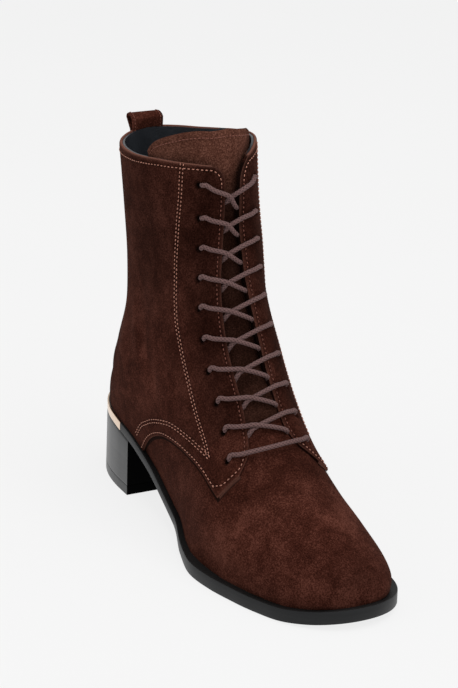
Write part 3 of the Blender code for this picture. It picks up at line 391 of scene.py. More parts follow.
class Finish:
    """A material and short ways to add its nodes."""

    def __init__(self, name, **settings):
        self.material = bpy.data.materials.new(name)
        self.material.use_nodes = True
        self.tree = self.material.node_tree
        self.shader = self.tree.nodes["Principled BSDF"]
        for key, value in settings.items():
            self.shader.inputs[key.replace("_", " ")].default_value = value
        self.place = self.tree.nodes.new("ShaderNodeTexCoord").outputs["Object"]

    def add(self, kind, links, **settings):
        node = self.tree.nodes.new(kind)
        for key, value in settings.items():
            setattr(node, key, value)
        for key, value in links.items():
            if isinstance(value, bpy.types.NodeSocket):
                self.tree.links.new(value, node.inputs[key])
            else:
                node.inputs[key].default_value = value
        return node

    def stretch(self, scale, turn=(0.0, 0.0, 0.0)):
        links = {"Vector": self.place, "Scale": scale, "Rotation": turn}
        return self.add("ShaderNodeMapping", links).outputs[0]

    def noise(self, scale, detail=2.0, roughness=0.5, distortion=0.0, place=None):
        links = {"Vector": place or self.place, "Scale": scale, "Detail": detail, "Roughness": roughness,
                 "Distortion": distortion}
        return self.add("ShaderNodeTexNoise", links).outputs[0]

    def attribute(self, name):
        return self.add("ShaderNodeAttribute", {}, attribute_name=name).outputs["Fac"]

    def math(self, operation, a, b=0.0, c=0.0):
        return self.add("ShaderNodeMath", {0: a, 1: b, 2: c}, operation=operation).outputs[0]

    def ramp(self, value, stops):
        node = self.add("ShaderNodeValToRGB", {"Fac": value})
        while len(node.color_ramp.elements) < len(stops):
            node.color_ramp.elements.new(0.5)
        for element, (position, colour) in zip(node.color_ramp.elements, stops):
            element.position = position
            element.color = (*colour, 1.0)
        return node.outputs["Color"]

    def spread(self, value, low, high):
        links = {"Value": value, "To Min": low, "To Max": high}
        return self.add("ShaderNodeMapRange", links).outputs[0]

    def mix(self, factor, a, b, blend="MIX"):
        node = self.add("ShaderNodeMix", {0: factor, 6: a, 7: b}, data_type="RGBA", blend_type=blend)
        return node.outputs[2]

    def bump(self, height, strength, distance, normal=None):
        links = {"Height": height, "Strength": strength, "Distance": distance}
        if normal is not None:
            links["Normal"] = normal
        return self.add("ShaderNodeBump", links).outputs[0]

    def set(self, **sockets):
        for key, socket in sockets.items():
            self.tree.links.new(socket, self.shader.inputs[key.replace("_", " ")])
        return self.material


def tint(colour, share):
    """A colour made darker or paler."""
    return tuple(share * c for c in colour)


def suede(name, dark, middle, light, patch=1.0):
    """Napped leather: brushed patches, a speckled fibre grain and hardly any sheen."""
    finish = Finish(name, Specular_IOR_Level=0.01, Sheen_Weight=0.02, Sheen_Roughness=0.5,
                    Sheen_Tint=(1.0, 0.55, 0.42, 1.0))
    large = finish.noise(23.0, 3.0, 0.55, 0.8)
    brushed = finish.noise(120.0, 4.0, 0.6, 0.6, finish.stretch((1.0, 1.0, 0.8), (0.3, 0.5, 0.2)))
    speckle = finish.noise(1250.0, 3.0, 0.7)
    weights = 0.55 * patch, 0.48 * patch, 1.15
    value = finish.math("MULTIPLY_ADD", large, weights[0], 0.52 - sum(weights) / 2)
    value = finish.math("MULTIPLY_ADD", brushed, weights[1], value)
    value = finish.math("MULTIPLY_ADD", speckle, weights[2], value)
    colour = finish.ramp(value, ((0.25, dark), (0.52, middle), (0.80, light)))
    # The tone attribute brings in nap and painted light and shade
    colour = finish.mix(1.0, colour, finish.attribute("tone"), "MULTIPLY")
    # Paler along rolled and cut edges: partly the suede's own edge, partly painted highlight
    pale_edge_and_highlight = finish.mix(finish.attribute("edge"), colour, (*EDGE_BROWN, 1.0))
    # Painted shade from the dark attribute: eyelet pits, seam grooves, cut edges and hidden undersides
    colour = finish.mix(finish.attribute("dark"), pale_edge_and_highlight, (0.0025, 0.0012, 0.0009, 1.0))
    grain = finish.bump(finish.noise(1500.0, 2.0, 0.6), 0.5, 0.0003)
    nap_and_shade = finish.bump(finish.noise(420.0, 3.0, 0.6), 0.35, 0.0005, grain)
    return finish.set(Base_Color=colour, Roughness=finish.spread(brushed, 0.85, 1.0), Normal=nap_and_shade)


def grained(name, colour, rough, scale, depth, **settings):
    """Smooth leather or moulded rubber with a fine grain."""
    finish = Finish(name, **settings)
    cells = finish.add("ShaderNodeTexVoronoi", {"Vector": finish.place, "Scale": scale}).outputs["Distance"]
    patches = finish.noise(60.0, 3.0, 0.6)
    shade = finish.ramp(patches, ((0.3, tint(colour, 0.7)), (0.7, tint(colour, 1.25))))
    return finish.set(Base_Color=shade, Roughness=finish.spread(patches, rough - 0.06, rough + 0.06),
                      Normal=finish.bump(cells, 0.35, depth))


def layered(name, colour, rough, lines, depth, shine):
    """Stacked heel or sole edge: fine level lines and a satin polish."""
    finish = Finish(name, Specular_IOR_Level=shine)
    streaks = finish.noise(900.0, 2.0, 0.5, 0.0, finish.stretch((0.03, 0.03, 1.0)))
    level = finish.noise(lines, 1.0, 0.4, 0.0, finish.stretch((0.02, 0.02, 1.0)))
    patches = finish.noise(40.0, 3.0, 0.6)
    shade = finish.ramp(level, ((0.3, tint(colour, 0.75)), (0.7, tint(colour, 1.3))))
    bump = finish.bump(streaks, 0.25, depth, finish.bump(level, 0.3, 2 * depth))
    return finish.set(Base_Color=shade, Roughness=finish.spread(patches, rough - 0.05, rough + 0.07),
                      Normal=bump)


def metal(name, colour, rough, dull):
    """Plated metal with faint brushing and a duller tone in places."""
    finish = Finish(name, Metallic=1.0)
    patches = finish.noise(220.0, 4.0, 0.65)
    shade = finish.ramp(patches, ((0.32, tint(colour, dull)), (0.62, colour)))
    fine = finish.noise(1800.0, 2.0, 0.5)
    rough_map = finish.spread(patches, rough - 0.05, rough + 0.10)
    return finish.set(Base_Color=shade, Roughness=rough_map, Normal=finish.bump(fine, 0.06, 0.0001))


def thread(name, colour, rough, scale):
    """Twisted thread or woven tape, with paler and darker strands."""
    finish = Finish(name, Specular_IOR_Level=0.2, Sheen_Weight=0.08, Sheen_Roughness=0.4)
    strands = finish.noise(scale, 2.0, 0.6)
    shade = finish.ramp(strands, ((0.3, tint(colour, 0.55)), (0.52, colour), (0.8, tint(colour, 1.7))))
    return finish.set(Base_Color=shade, Roughness=finish.spread(strands, rough - 0.08, rough + 0.08),
                      Normal=finish.bump(strands, 0.5, 0.0003))


def braid(name, colour, rough):
    """Braided cord: painted highlight on the crowns of its strands, painted shade between them."""
    finish = Finish(name, Specular_IOR_Level=0.1, Sheen_Weight=0.05, Sheen_Roughness=0.4)
    crown = finish.math("MULTIPLY_ADD", finish.noise(1400.0, 2.0, 0.6), 0.5, finish.attribute("weave"))
    shade = finish.ramp(crown, ((0.30, tint(colour, 0.30)), (0.75, colour), (0.96, tint(colour, 1.7))))
    return finish.set(Base_Color=shade, Roughness=finish.spread(crown, rough - 0.08, rough + 0.08),
                      Normal=finish.bump(crown, 0.4, 0.0003))


# Colour of the paler rolled and cut edges, partly painted highlight
EDGE_BROWN = (0.19, 0.085, 0.062)
SUEDE = suede("suede", (0.0105, 0.0026, 0.0015), (0.0340, 0.0096, 0.0061), (0.088, 0.0300, 0.0205))
TONGUE_SUEDE = suede("tongue_suede", (0.016, 0.0052, 0.0034), (0.054, 0.0200, 0.0130),
                     (0.140, 0.060, 0.042), 0.6)
# Black lining leather, its base colour raised and tinted blue-grey as painted reflection
LINING = grained("lining_leather", (0.0200, 0.0225, 0.0270), 0.30, 900.0, 0.00020, Specular_IOR_Level=0.7)
INSOLE = grained("insole_leather", (0.010, 0.0095, 0.0095), 0.5, 700.0, 0.0003, Specular_IOR_Level=0.4)
TAPE = thread("zip_tape", (0.010, 0.009, 0.009), 0.8, 1600.0)
SOLE_EDGE = layered("sole_edge", (0.0065, 0.0068, 0.0075), 0.46, 520.0, 0.00012, 0.25)
HEEL_STACK = layered("heel_stack", (0.0130, 0.0133, 0.0145), 0.30, 640.0, 0.00006, 0.38)
# Painted shade: the breast under the shank, darker than the stack's own black
SHADED_BREAST_BLACK = layered("shaded_breast_black", (0.0004, 0.0004, 0.0005), 0.7, 640.0, 0.00004, 0.02)
# Black ledge, darker still with painted shade under the upper
SHADED_BLACK_LEDGE = grained("shaded_black_ledge", (0.0045, 0.0042, 0.0042), 0.55, 1200.0, 0.0001, Specular_IOR_Level=0.25)
LIFT_SIDE = layered("lift_side", (0.0115, 0.0118, 0.0130), 0.33, 640.0, 0.00006, 0.37)
GOLD = metal("pale_gold", (0.86, 0.66, 0.50), 0.20, 0.90)
ANTIQUE = metal("antique_gold", (0.42, 0.30, 0.14), 0.36, 0.45)
TEETH = metal("dark_teeth", (0.13, 0.10, 0.065), 0.38, 0.5)
STOPS = metal("stop_metal", (0.62, 0.60, 0.57), 0.30, 0.7)
LACE_CORD = braid("lace_cord", (0.080, 0.046, 0.0435), 0.75)
COPPER = thread("copper_thread", (0.36, 0.160, 0.112), 0.6, 2200.0)
DULL_THREAD = thread("dull_thread", (0.150, 0.050, 0.033), 0.65, 2200.0)
DARK_THREAD = thread("dark_thread", (0.030, 0.014, 0.010), 0.65, 2200.0)


# Meshes

def new_mesh(name, points, faces, mats, indices=None, sharp=None, weld=False, attributes=None,
             outward=False):
    """Mesh in metres in the model's frame from points in millimetres, its faces turned outward if asked."""
    mesh = bpy.data.meshes.new(name)
    places = (np.asarray(points, dtype=float) + SHIFT) * MM
    mesh.from_pydata(places.tolist(), [], [tuple(int(k) for k in f) for f in faces])
    for mat in mats:
        mesh.materials.append(mat)
    if indices is not None:
        mesh.polygons.foreach_set("material_index", np.asarray(indices, dtype=np.int32))
    for key, values in (attributes or {}).items():
        layer = mesh.attributes.new(key, "FLOAT", "POINT")
        layer.data.foreach_set("value", np.asarray(values, dtype=np.float32))
    if weld:
        bm = bmesh.new()
        bm.from_mesh(mesh)
        bmesh.ops.remove_doubles(bm, verts=bm.verts, dist=2e-5)
        bmesh.ops.dissolve_degenerate(bm, edges=bm.edges, dist=1e-6)
        bm.to_mesh(mesh)
        bm.free()
    mesh.shade_smooth()
    if sharp is not None:
        mesh.set_sharp_from_angle(angle=math.radians(sharp))
    if outward:
        bm = bmesh.new()
        bm.from_mesh(mesh)
        bmesh.ops.recalc_face_normals(bm, faces=bm.faces)
        bm.to_mesh(mesh)
        bm.free()
    return mesh


def add_piece(name, mesh, nodes=(), body="boot"):
    obj = bpy.data.objects.new(name, mesh)
    bpy.context.scene.collection.objects.link(obj)
    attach(obj, body)
    if nodes:
        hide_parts(*nodes)
    return obj


def grid_faces(rows, columns):
    """Faces of a grid of points, numbered row by row."""
    first = np.arange(rows - 1)[:, None] * columns + np.arange(columns - 1)[None, :]
    quads = np.stack([first, first + 1, first + columns + 1, first + columns], axis=-1)
    return quads.reshape(-1, 4)


def ring_faces(rings, count, start=0):
    """Faces of closed rings, with both ends closed."""
    faces = []
    for r in range(rings - 1):
        for k in range(count):
            n = (k + 1) % count
            a, b = start + r * count, start + (r + 1) * count
            faces.append((a + k, a + n, b + n, b + k))
    faces.append(tuple(start + k for k in reversed(range(count))))
    faces.append(tuple(start + (rings - 1) * count + k for k in range(count)))
    return faces


def shell_faces(faces, size):
    """Faces of a sheet's outer side, of its inner side, numbered on by size, and of the rim between them."""
    sides = {(f[k], f[(k + 1) % 4]) for f in faces.tolist() for k in range(4)}
    rim = [(b, a, a + size, b + size) for a, b in sides if (b, a) not in sides]
    return [*faces.tolist(), *(faces[:, ::-1] + size).tolist(), *rim]


def near_points(points, marks):
    """Distance from each point to the nearest mark."""
    tree = KDTree(len(marks))
    for i, mark in enumerate(marks):
        tree.insert(mark, i)
    tree.balance()
    return np.array([tree.find(p)[2] for p in points])


def path_frames(points):
    """Two normals along a run of points that turn with it as little as they can."""
    tangents = np.gradient(points, axis=0)
    tangents /= np.linalg.norm(tangents, axis=1)[:, None]
    side = np.cross(tangents[0], (0.0, 0.0, 1.0))
    sides = []
    for tangent in tangents:
        side = side - tangent * np.dot(side, tangent)
        side = side / np.linalg.norm(side)
        sides.append(side)
    sides = np.array(sides)
    return sides, np.cross(tangents, sides)


class Stitches:
    """Rows of short thread stitches, kept as one mesh."""

    def __init__(self):
        self.points, self.faces = [], []

    def row(self, places, outs, pitch, length, radius):
        """Stitches along a run of points, lying on the surface whose normals are outs."""
        both = spaced(np.concatenate([places, outs], axis=1), pitch)
        places, outs = both[:, :3], both[:, 3:]
        onward = np.gradient(places, axis=0)
        for place, out, along in zip(places, outs, onward):
            along = along / np.linalg.norm(along)
            out = out - along * np.dot(out, along)
            out = out / np.linalg.norm(out)
            across = np.cross(along, out)
            start = len(self.points)
            for reach, swell, rise in ((-0.5, 0.25, -0.5), (-0.36, 0.85, 0.1), (0.0, 1.0, 0.35),
                                       (0.36, 0.85, 0.1), (0.5, 0.25, -0.5)):
                middle = place + along * reach * length + out * rise * radius
                for k in range(6):
                    angle = math.pi * k / 3
                    spoke = across * math.cos(angle) + out * math.sin(angle)
                    self.points.append(middle + radius * swell * spoke)
            self.faces += ring_faces(5, 6, start)


# Sole, heel and insole

def sole_places(count):
    """Stations of the outsole and how far its outline is drawn in there for the band at the heel."""
    drawn_in = BAND + GAP
    turns = np.linspace(0.0, math.pi, count)
    back = HEEL_END + drawn_in + (BAND_END - HEEL_END) * (1 - np.cos(turns[: count // 2 + 1]))
    places = [(x, drawn_in) for x in back if x < BAND_END - 0.1]
    places += [(BAND_END, drawn_in), (BAND_END + 0.2, 0.0)]
    middle, reach = (HEEL_END + TOE_END) / 2, (TOE_END - HEEL_END) / 2
    return places + [(x, 0.0) for x in middle - reach * np.cos(turns) if x > BAND_END + 1.0]


def make_outsole():
    """Outsole with a crisp edge, softened only at its corners, and the black ledge around the upper, in
    painted shade.
    """
    places = sole_places(180)
    middle = (HEEL_END + TOE_END) / 2
    profile = ((0.9, 0.0, 0.0), (0.25, 0.0, 0.10), (0.0, 0.0, 0.5), (0.0, 1.0, -0.35), (0.08, 1.0, -0.08),
               (0.35, 1.0, 0.0), (1.2, 1.0, 0.0))
    points = []
    for x, drawn_in in places:
        ring = []
        for inset, up, more in profile:
            pull = (x - middle) / (TOE_END - middle)
            at = x - inset * (1 if pull > 0 else -1) * abs(pull) ** 8
            y = outline(at, drawn_in + inset)
            under, top = sole_underside(x), sole_top(x)
            ring.append((at, y, under + up * (top - under) + more))
        points += [(at, y[0], z) for at, y, z in ring]
        points += [(at, y[1], z) for at, y, z in reversed(ring)]
    count = 2 * len(profile)
    faces = ring_faces(len(places), count)
    ledge_face = len(profile) - 1
    indices = [1 if f < len(faces) - 2 and f % count in (ledge_face, ledge_face - 1, ledge_face + 1) else 0
               for f in range(len(faces))]
    mesh = new_mesh("outsole_dressed", points, faces, (SOLE_EDGE, SHADED_BLACK_LEDGE), indices, 35, True,
                    outward=True)
    add_piece("outsole_dressed", mesh, ("outsole",))


def heel_ring(count):
    """Places around the heel from breast corner to breast corner: x, and side of the outline."""
    turns = np.linspace(-math.pi / 2, math.pi / 2, 2 * count + 1)
    return [(HEEL_END + (HEEL_BREAST - HEEL_END) * (1 - math.cos(t)), 0 if t < 0 else 1) for t in turns]


def heel_lean(x, height):
    """How far the heel's outline stands behind x at a share of its height."""
    t = (x - HEEL_END) / (HEEL_BREAST - HEEL_END)
    return (HEEL_FLARE - t * (HEEL_FLARE + BREAST_RAKE)) * (1 - height)


def make_heel_layer(name, node, mats, floor, ceiling, soft):
    """A layer of the heel between two heights: a smooth side, rounded at its edges, and the flat breast in
    painted shade.
    """
    ring = heel_ring(60)
    below, above = soft
    steps = ((below, 0.0), (0.3 * below, 0.02), (0.0, 0.06), (0.0, 0.35), (0.0, 0.65), (0.0, 0.94),
             (0.3 * above, 0.98), (above, 1.0))
    points = []
    for inset, up in steps:
        for x, side in ring:
            low, high = floor, ceiling or sole_underside(x) - 0.1
            z = low + up * (high - low)
            back = 1 - (x - HEEL_END) / (HEEL_BREAST - HEEL_END)
            at = x + inset * (back ** 2 - (1 - back) ** 12)
            y = outline(x)[side] * (1 - inset / 31.0)
            points.append((at - heel_lean(x, z / HEEL_HEIGHT), y, z))
    columns = len(ring)
    faces = [tuple(f) for f in grid_faces(len(steps), columns)]
    breast = [(r * columns, (r + 1) * columns, (r + 2) * columns - 1, (r + 1) * columns - 1)
              for r in range(len(steps) - 1)]
    last = (len(steps) - 1) * columns
    caps = [tuple(range(columns)), tuple(last + k for k in reversed(range(columns)))]
    indices = [0] * len(faces) + [1] * len(breast) + [1, 1]
    mesh = new_mesh(name, points, faces + breast + caps, mats, indices, 40, outward=True)
    add_piece(name, mesh, (node,))


def make_band():
    """Polished metal band around the back of the heel seat."""
    points = []
    ring = [(HEEL_END + (BAND_END - GAP - HEEL_END) * (1 - math.cos(t)), 0 if t < 0 else 1)
            for t in np.linspace(-math.pi / 2, math.pi / 2, 161)]
    profile = ((1.0, 0.0), (0.16, 0.0), (0.04, 0.03), (0.0, 0.1), (0.0, 0.5), (0.0, 0.9), (0.04, 0.97),
               (0.16, 1.0), (1.0, 1.0))
    for x, side in ring:
        low, high = sole_underside(x) + 0.15, sole_top(x) - 0.1
        back = 1 - (x - HEEL_END) / (BAND_END - HEEL_END)
        for inset, up in profile:
            at = x + inset * BAND * back
            points.append((at, outline(at, inset * BAND)[side], low + up * (high - low)))
    mesh = new_mesh("seat_band", points, ring_faces(len(ring), len(profile)), (GOLD,), sharp=50,
                    outward=True)
    add_piece("seat_band", mesh, ("heel_band",))


def dress(node, mat, width):
    """A CAD solid whose shape is right: softened edges and its own finish."""
    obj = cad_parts[node]
    obj.data.materials.clear()
    obj.data.materials.append(mat)
    weld = obj.modifiers.new("Weld", "WELD")
    weld.merge_threshold = 1e-5
    bevel = obj.modifiers.new("Soft edges", "BEVEL")
    bevel.width = width * MM
    bevel.segments = 2
    bevel.limit_method = "ANGLE"
    bevel.angle_limit = math.radians(40)
    bevel.harden_normals = True


# Upper

def make_vamp():
    """The hollow wall: suede outside, black lining inside and along its rims."""
    rows = np.unique(np.concatenate([np.linspace(0.0, 1.0, 12), np.linspace(1.0, 9.0, 84),
                                     np.linspace(9.0, 12.6, 44), np.linspace(12.6, 20.0, 66)]))
    shares = np.linspace(0.0, 1.0, 52)
    outer, inner, nap_and_shade = [], [], []
    for s in rows:
        runs = []
        for side in (-1, 1):
            start, end = throat(s, side), side * girth(s, side)
            runs.append(start + shares * (end - start))
        along = np.concatenate([runs[0][::-1], runs[1]])
        points, normals = row_skin(s, along)
        lift = np.minimum(fold(s, along), 0.8)
        outer.append(points + lift[:, None] * normals)
        inner.append(points - WALL * normals)
        # Tone of the nap with painted light and shade, from shade()
        nap_and_shade.append(shade(s, along))
    count, columns = len(rows), 2 * len(shares)
    faces = grid_faces(count, columns)
    row_of, column_of = faces[:, 0] // columns, faces[:, 0] % columns
    keep = ~((column_of == len(shares) - 1) & (rows[row_of] >= THROAT_ROW))
    faces = faces[keep]
    size = count * columns
    everything = shell_faces(faces, size)
    indices = [0] * len(faces) + [1] * (len(everything) - len(faces))
    nap_and_shade = np.exp(np.concatenate(nap_and_shade))
    zero = np.zeros(2 * size)
    attributes = {"tone": np.concatenate([nap_and_shade, nap_and_shade]), "edge": zero, "dark": zero}
    points = np.concatenate([np.concatenate(outer), np.concatenate(inner)])
    mesh = new_mesh("vamp", points, everything, (SUEDE, LINING), indices, 50, True, attributes)
    add_piece("vamp", mesh, ("upper",))


# Broad paler and darker regions, the same on both sides: partly suede nap, partly painted light and shade
# where the light falls: section, distance from the top line, reach, and tone as a power of e (+ paler)
NAP_AND_SHADE = ((6.5, 0.0, 26.0, 0.35),      # crown of the vamp
       (8.0, 48.0, 24.0, 0.25),     # sides of the vamp
       (2.5, 0.0, 18.0, -0.35),     # toe
       (13.5, 84.0, 26.0, 0.30),    # counter round the heel
       (18.0, 60.0, 34.0, -0.45))   # upper shaft
# Painted shade on the facing, where the laces cast their shadows: tone, middle from its edge, reach
FACING_SHADE, FACING_MIDDLE, FACING_REACH = -0.7, 8.0, 13.0


def shade(s, along):
    """Tone at section s: broad regions, partly nap and partly painted light and shade, and the facing's
    painted shade.
    """
    out = np.abs(np.asarray(along, dtype=float))
    total = np.zeros_like(out)
    for at, middle, reach, tone in NAP_AND_SHADE:
        total += tone * np.exp(-((ROW_MM * (s - at)) ** 2 + (out - middle) ** 2) / reach ** 2)
    if s >= THROAT_ROW:
        middle = abs(facing(s, -1)) + FACING_MIDDLE
        total += FACING_SHADE * np.exp(-((out - middle) / FACING_REACH) ** 2)
    return total


FRONT_EDGES = {}
for edge_side, edge_column in ((-1, 1), (1, 2)):
    edge_run = smooth_run(QUARTER_FRONT[:, (0, edge_column)] * (ROW_MM, 1.0), 30)
    FRONT_EDGES[edge_side] = edge_run / (ROW_MM, 1.0)


def quarter_reach(s, side):
    """How far along section s a quarter goes from the top line."""
    reach = girth(s, side)
    if s < QUARTER_FRONT[-1][0]:
        edge = FRONT_EDGES[side]
        reach = min(reach, float(np.interp(s, edge[:, 0], edge[:, 1])))
    return reach


def edge_slant(s, side):
    """How much wider along section s the slanting front edge of a quarter is than square to it."""
    if s >= QUARTER_FRONT[-1][0]:
        return 1.0
    slope = (quarter_reach(s + 0.01, side) - quarter_reach(s - 0.01, side)) / (0.02 * SLANT_ROW_MM)
    return min(math.hypot(1.0, slope), 6.0)


def quarter_rows():
    """Sections of a quarter's mesh with their lift: rolled over at the flap's end and at the collar."""
    rows = [(8.91, 0.15), (9.0, 0.15), (9.0, 0.9), (9.012, 1.3), (9.04, OVER - 0.05)]
    inner = np.concatenate([np.linspace(9.08, 11.9, 52), np.linspace(11.95, 12.5, 34),
                            np.linspace(12.56, 19.86, 124)])
    rows += [(s, OVER) for s in inner]
    rows += [(19.93, OVER), (19.98, OVER - 0.12), (20.015, OVER - 0.45), (20.03, 0.7), (20.03, 0.2),
             (20.015, -0.3), (19.98, -0.7)]
    return rows


ROLL = ((0.0, 0.1), (0.0, 0.75), (0.12, 1.15), (0.35, 1.45), (0.7, OVER))
UNDERSIDE = ((4.8, -WALL), (0.5, -WALL), (0.08, -1.3), (0.0, -0.6))
SHADOW_FOOT = 1.3                  # foot of a quarter's cut edge, lying on the vamp, dark with painted shadow
SLANT_ROW_MM = 20.0         # one section step at that edge
# The medial flap's end stands off a little: height, section, run, distance along and its fade
FLAP_LIFT, FLAP_ROW, FLAP_RUN, FLAP_REACH, FLAP_FADE = 0.5, 9.9, 0.9, 46.0, 30.0
HOLE_OUT, HOLE, HOLE_DEPTH, HOLE_RING, RING_HEIGHT = 1.8, 2.1, 1.5, 2.9, 0.16
SEAM_REACH, SEAM_DEPTH = 0.75, 0.28     # how far and deep stitches draw in the suede


def even_columns(near, far, shares, roll, slant=1.0):
    """Distances along and lifts of a patch: rolled edges, the far one at a slant, and columns between."""
    sign = 1 if far > near else -1
    length = abs(far - near)
    ends = np.array([offset for offset, _ in ROLL])
    tops = np.array([lift for _, lift in ROLL])
    edge = min(1.4, 0.2 * length)
    body = edge + shares * (length - edge * (1 + slant))
    scale = min(1.0, 0.2 * length / 0.7)
    offsets = np.concatenate([ends * scale, body, length - ends[::-1] * scale * slant,
                              [length + SHADOW_FOOT * slant * roll[1]]])
    near_lifts = OVER + (tops - OVER) * roll[0]
    far_lifts = OVER + (np.append(tops[::-1], 0.15) - OVER) * roll[1]
    return near + sign * offsets, np.concatenate([near_lifts, np.full(len(shares), OVER), far_lifts])


def zip_split(s, near, far):
    """Middle of the zip along section s, and half the slit's width there (none below its foot)."""
    if s >= ZIP_ROW:
        return zip_run(s), ZIP_SLIT * min(1.0, ((s - ZIP_ROW) / 0.25) ** 0.5)
    edge = facing_edge(ZIP_ROW, 1)
    base = (zip_run(ZIP_ROW) - edge) / (quarter_reach(ZIP_ROW, 1) - edge)
    return near + base * (far - near), 0.0


def make_quarter(name, side, stitch_marks, node):
    """A quarter over the wall: rolled edges, eyelet holes pressed in, seams drawn in by their stitches."""
    first = np.concatenate([np.linspace(0.0, 0.30, 30), np.linspace(0.30, 1.0, 60)[1:]])
    second = np.linspace(0.0, 1.0, 34)
    points, normals, nap_and_shade, edge, deep = [], [], [], [], []
    under = np.array(UNDERSIDE)
    cut = len(UNDERSIDE) + 2
    rows = quarter_rows()
    for s, row_lift in rows:
        near, far = facing_edge(min(s, 20.0), side), side * quarter_reach(s, side)
        at_seam = 0.0 if s > HEEL_ROW else 1.0
        slant = edge_slant(s, side)
        if side > 0:
            middle, half = zip_split(s, near, far)
            open_slit = min(half / 1.2, 1.0)
            runs = [even_columns(near, middle - half, first, (1.0, open_slit)),
                    even_columns(middle + half, far, second, (open_slit, at_seam), slant)]
            along = np.concatenate([run for run, _ in runs])
            lifts = np.concatenate([lift for _, lift in runs])
        else:
            shares = np.concatenate([first * 0.7, 0.7 + 0.3 * second[1:]])
            along, lifts = even_columns(near, far, shares, (1.0, at_seam), slant)
        along = np.concatenate([near + side * under[:, 0], along])
        lifts = np.concatenate([under[:, 1], lifts])
        place, out = row_skin(min(s, 20.05), along)
        lift = np.minimum(lifts, row_lift) if row_lift < OVER else lifts
        soft = fold(s, along) * (lift > 0.0)
        if side > 0:
            soft += (FLAP_LIFT * np.clip((FLAP_ROW - s) / FLAP_RUN, 0.0, 1.0) ** 2
                     * np.clip((FLAP_REACH - along) / FLAP_FADE, 0.0, 1.0))
        points.append(place + (lift + soft)[:, None] * out)
        normals.append(out)
        # Tone of the nap with painted light and shade, from shade()
        nap_and_shade.append(shade(s, along))
        rim = np.clip((OVER - lift) / 0.6, 0.0, 1.0)
        rim = np.maximum(rim, 0.35 * np.exp(-np.minimum(np.abs(along - near), np.abs(along - far)
                                                         if s < HEEL_ROW else 99.0) / 0.8))
        rim[:cut] = 0.0
        top_edge = {20.03: 1.0, 20.015: 0.6}.get(s, 0.0) if row_lift > 0.0 else 0.0
        edge.append(np.maximum(0.5 * rim, top_edge))
        # Painted shade: the hidden underside, the lower cut face and foot of a low front edge, and the flap's
        # end
        hidden = np.arange(len(along)) < cut
        shadowed_cut_face = (lift < 0.9) & (np.arange(len(along)) >= len(along) - len(ROLL) - 1) & (s < HEEL_ROW)
        deep.append(np.where(hidden, 0.0 if s > 19.9 else 0.8, np.where(shadowed_cut_face | (s < 9.0), 0.92, 0.0)))
    columns = len(points[0])
    points, normals = np.concatenate(points), np.concatenate(normals)
    nap_and_shade, edge, deep = np.concatenate(nap_and_shade), np.concatenate(edge), np.concatenate(deep)
    eyelets = [eyelet(i, side) for i in range(len(EYELET_ROWS))]
    holes = np.array([skin(s, run + HOLE_OUT * side, OVER) for s, run in eyelets])
    away = near_points(points, holes)
    pit = np.clip((HOLE - away) / 0.7, 0.0, 1.0)
    ring = np.exp(-((away - HOLE_RING) / 0.7) ** 2)
    seam = np.exp(-(near_points(points, stitch_marks) / SEAM_REACH) ** 2)
    points = points + (RING_HEIGHT * ring - HOLE_DEPTH * pit - SEAM_DEPTH * seam)[:, None] * normals
    # Painted shade in the pressed eyelet pits and in the seams' drawn-in grooves
    dark = np.maximum(np.maximum(np.clip((1.8 - away) / 0.5, 0.0, 1.0), 0.35 * seam), deep)
    # Painted shade round each eyelet hole, painted highlight on its raised ring
    nap_and_shade = nap_and_shade - 0.25 * np.exp(-((away - 2.0) / 0.8) ** 2) + 0.12 * ring
    faces = grid_faces(len(rows), columns)
    if side < 0:
        faces = faces[:, ::-1]
    indices = np.zeros(len(faces), dtype=np.int32)
    if side > 0:
        slit_column = len(UNDERSIDE) + len(first) + 2 * len(ROLL)
        indices[faces[:, 0] % columns == slit_column] = 1
    attributes = {"tone": np.exp(nap_and_shade), "edge": 0.75 * edge, "dark": dark}
    mesh = new_mesh(name, points, faces, (SUEDE, TAPE), indices, 60, True, attributes)
    add_piece(name, mesh, (node,))


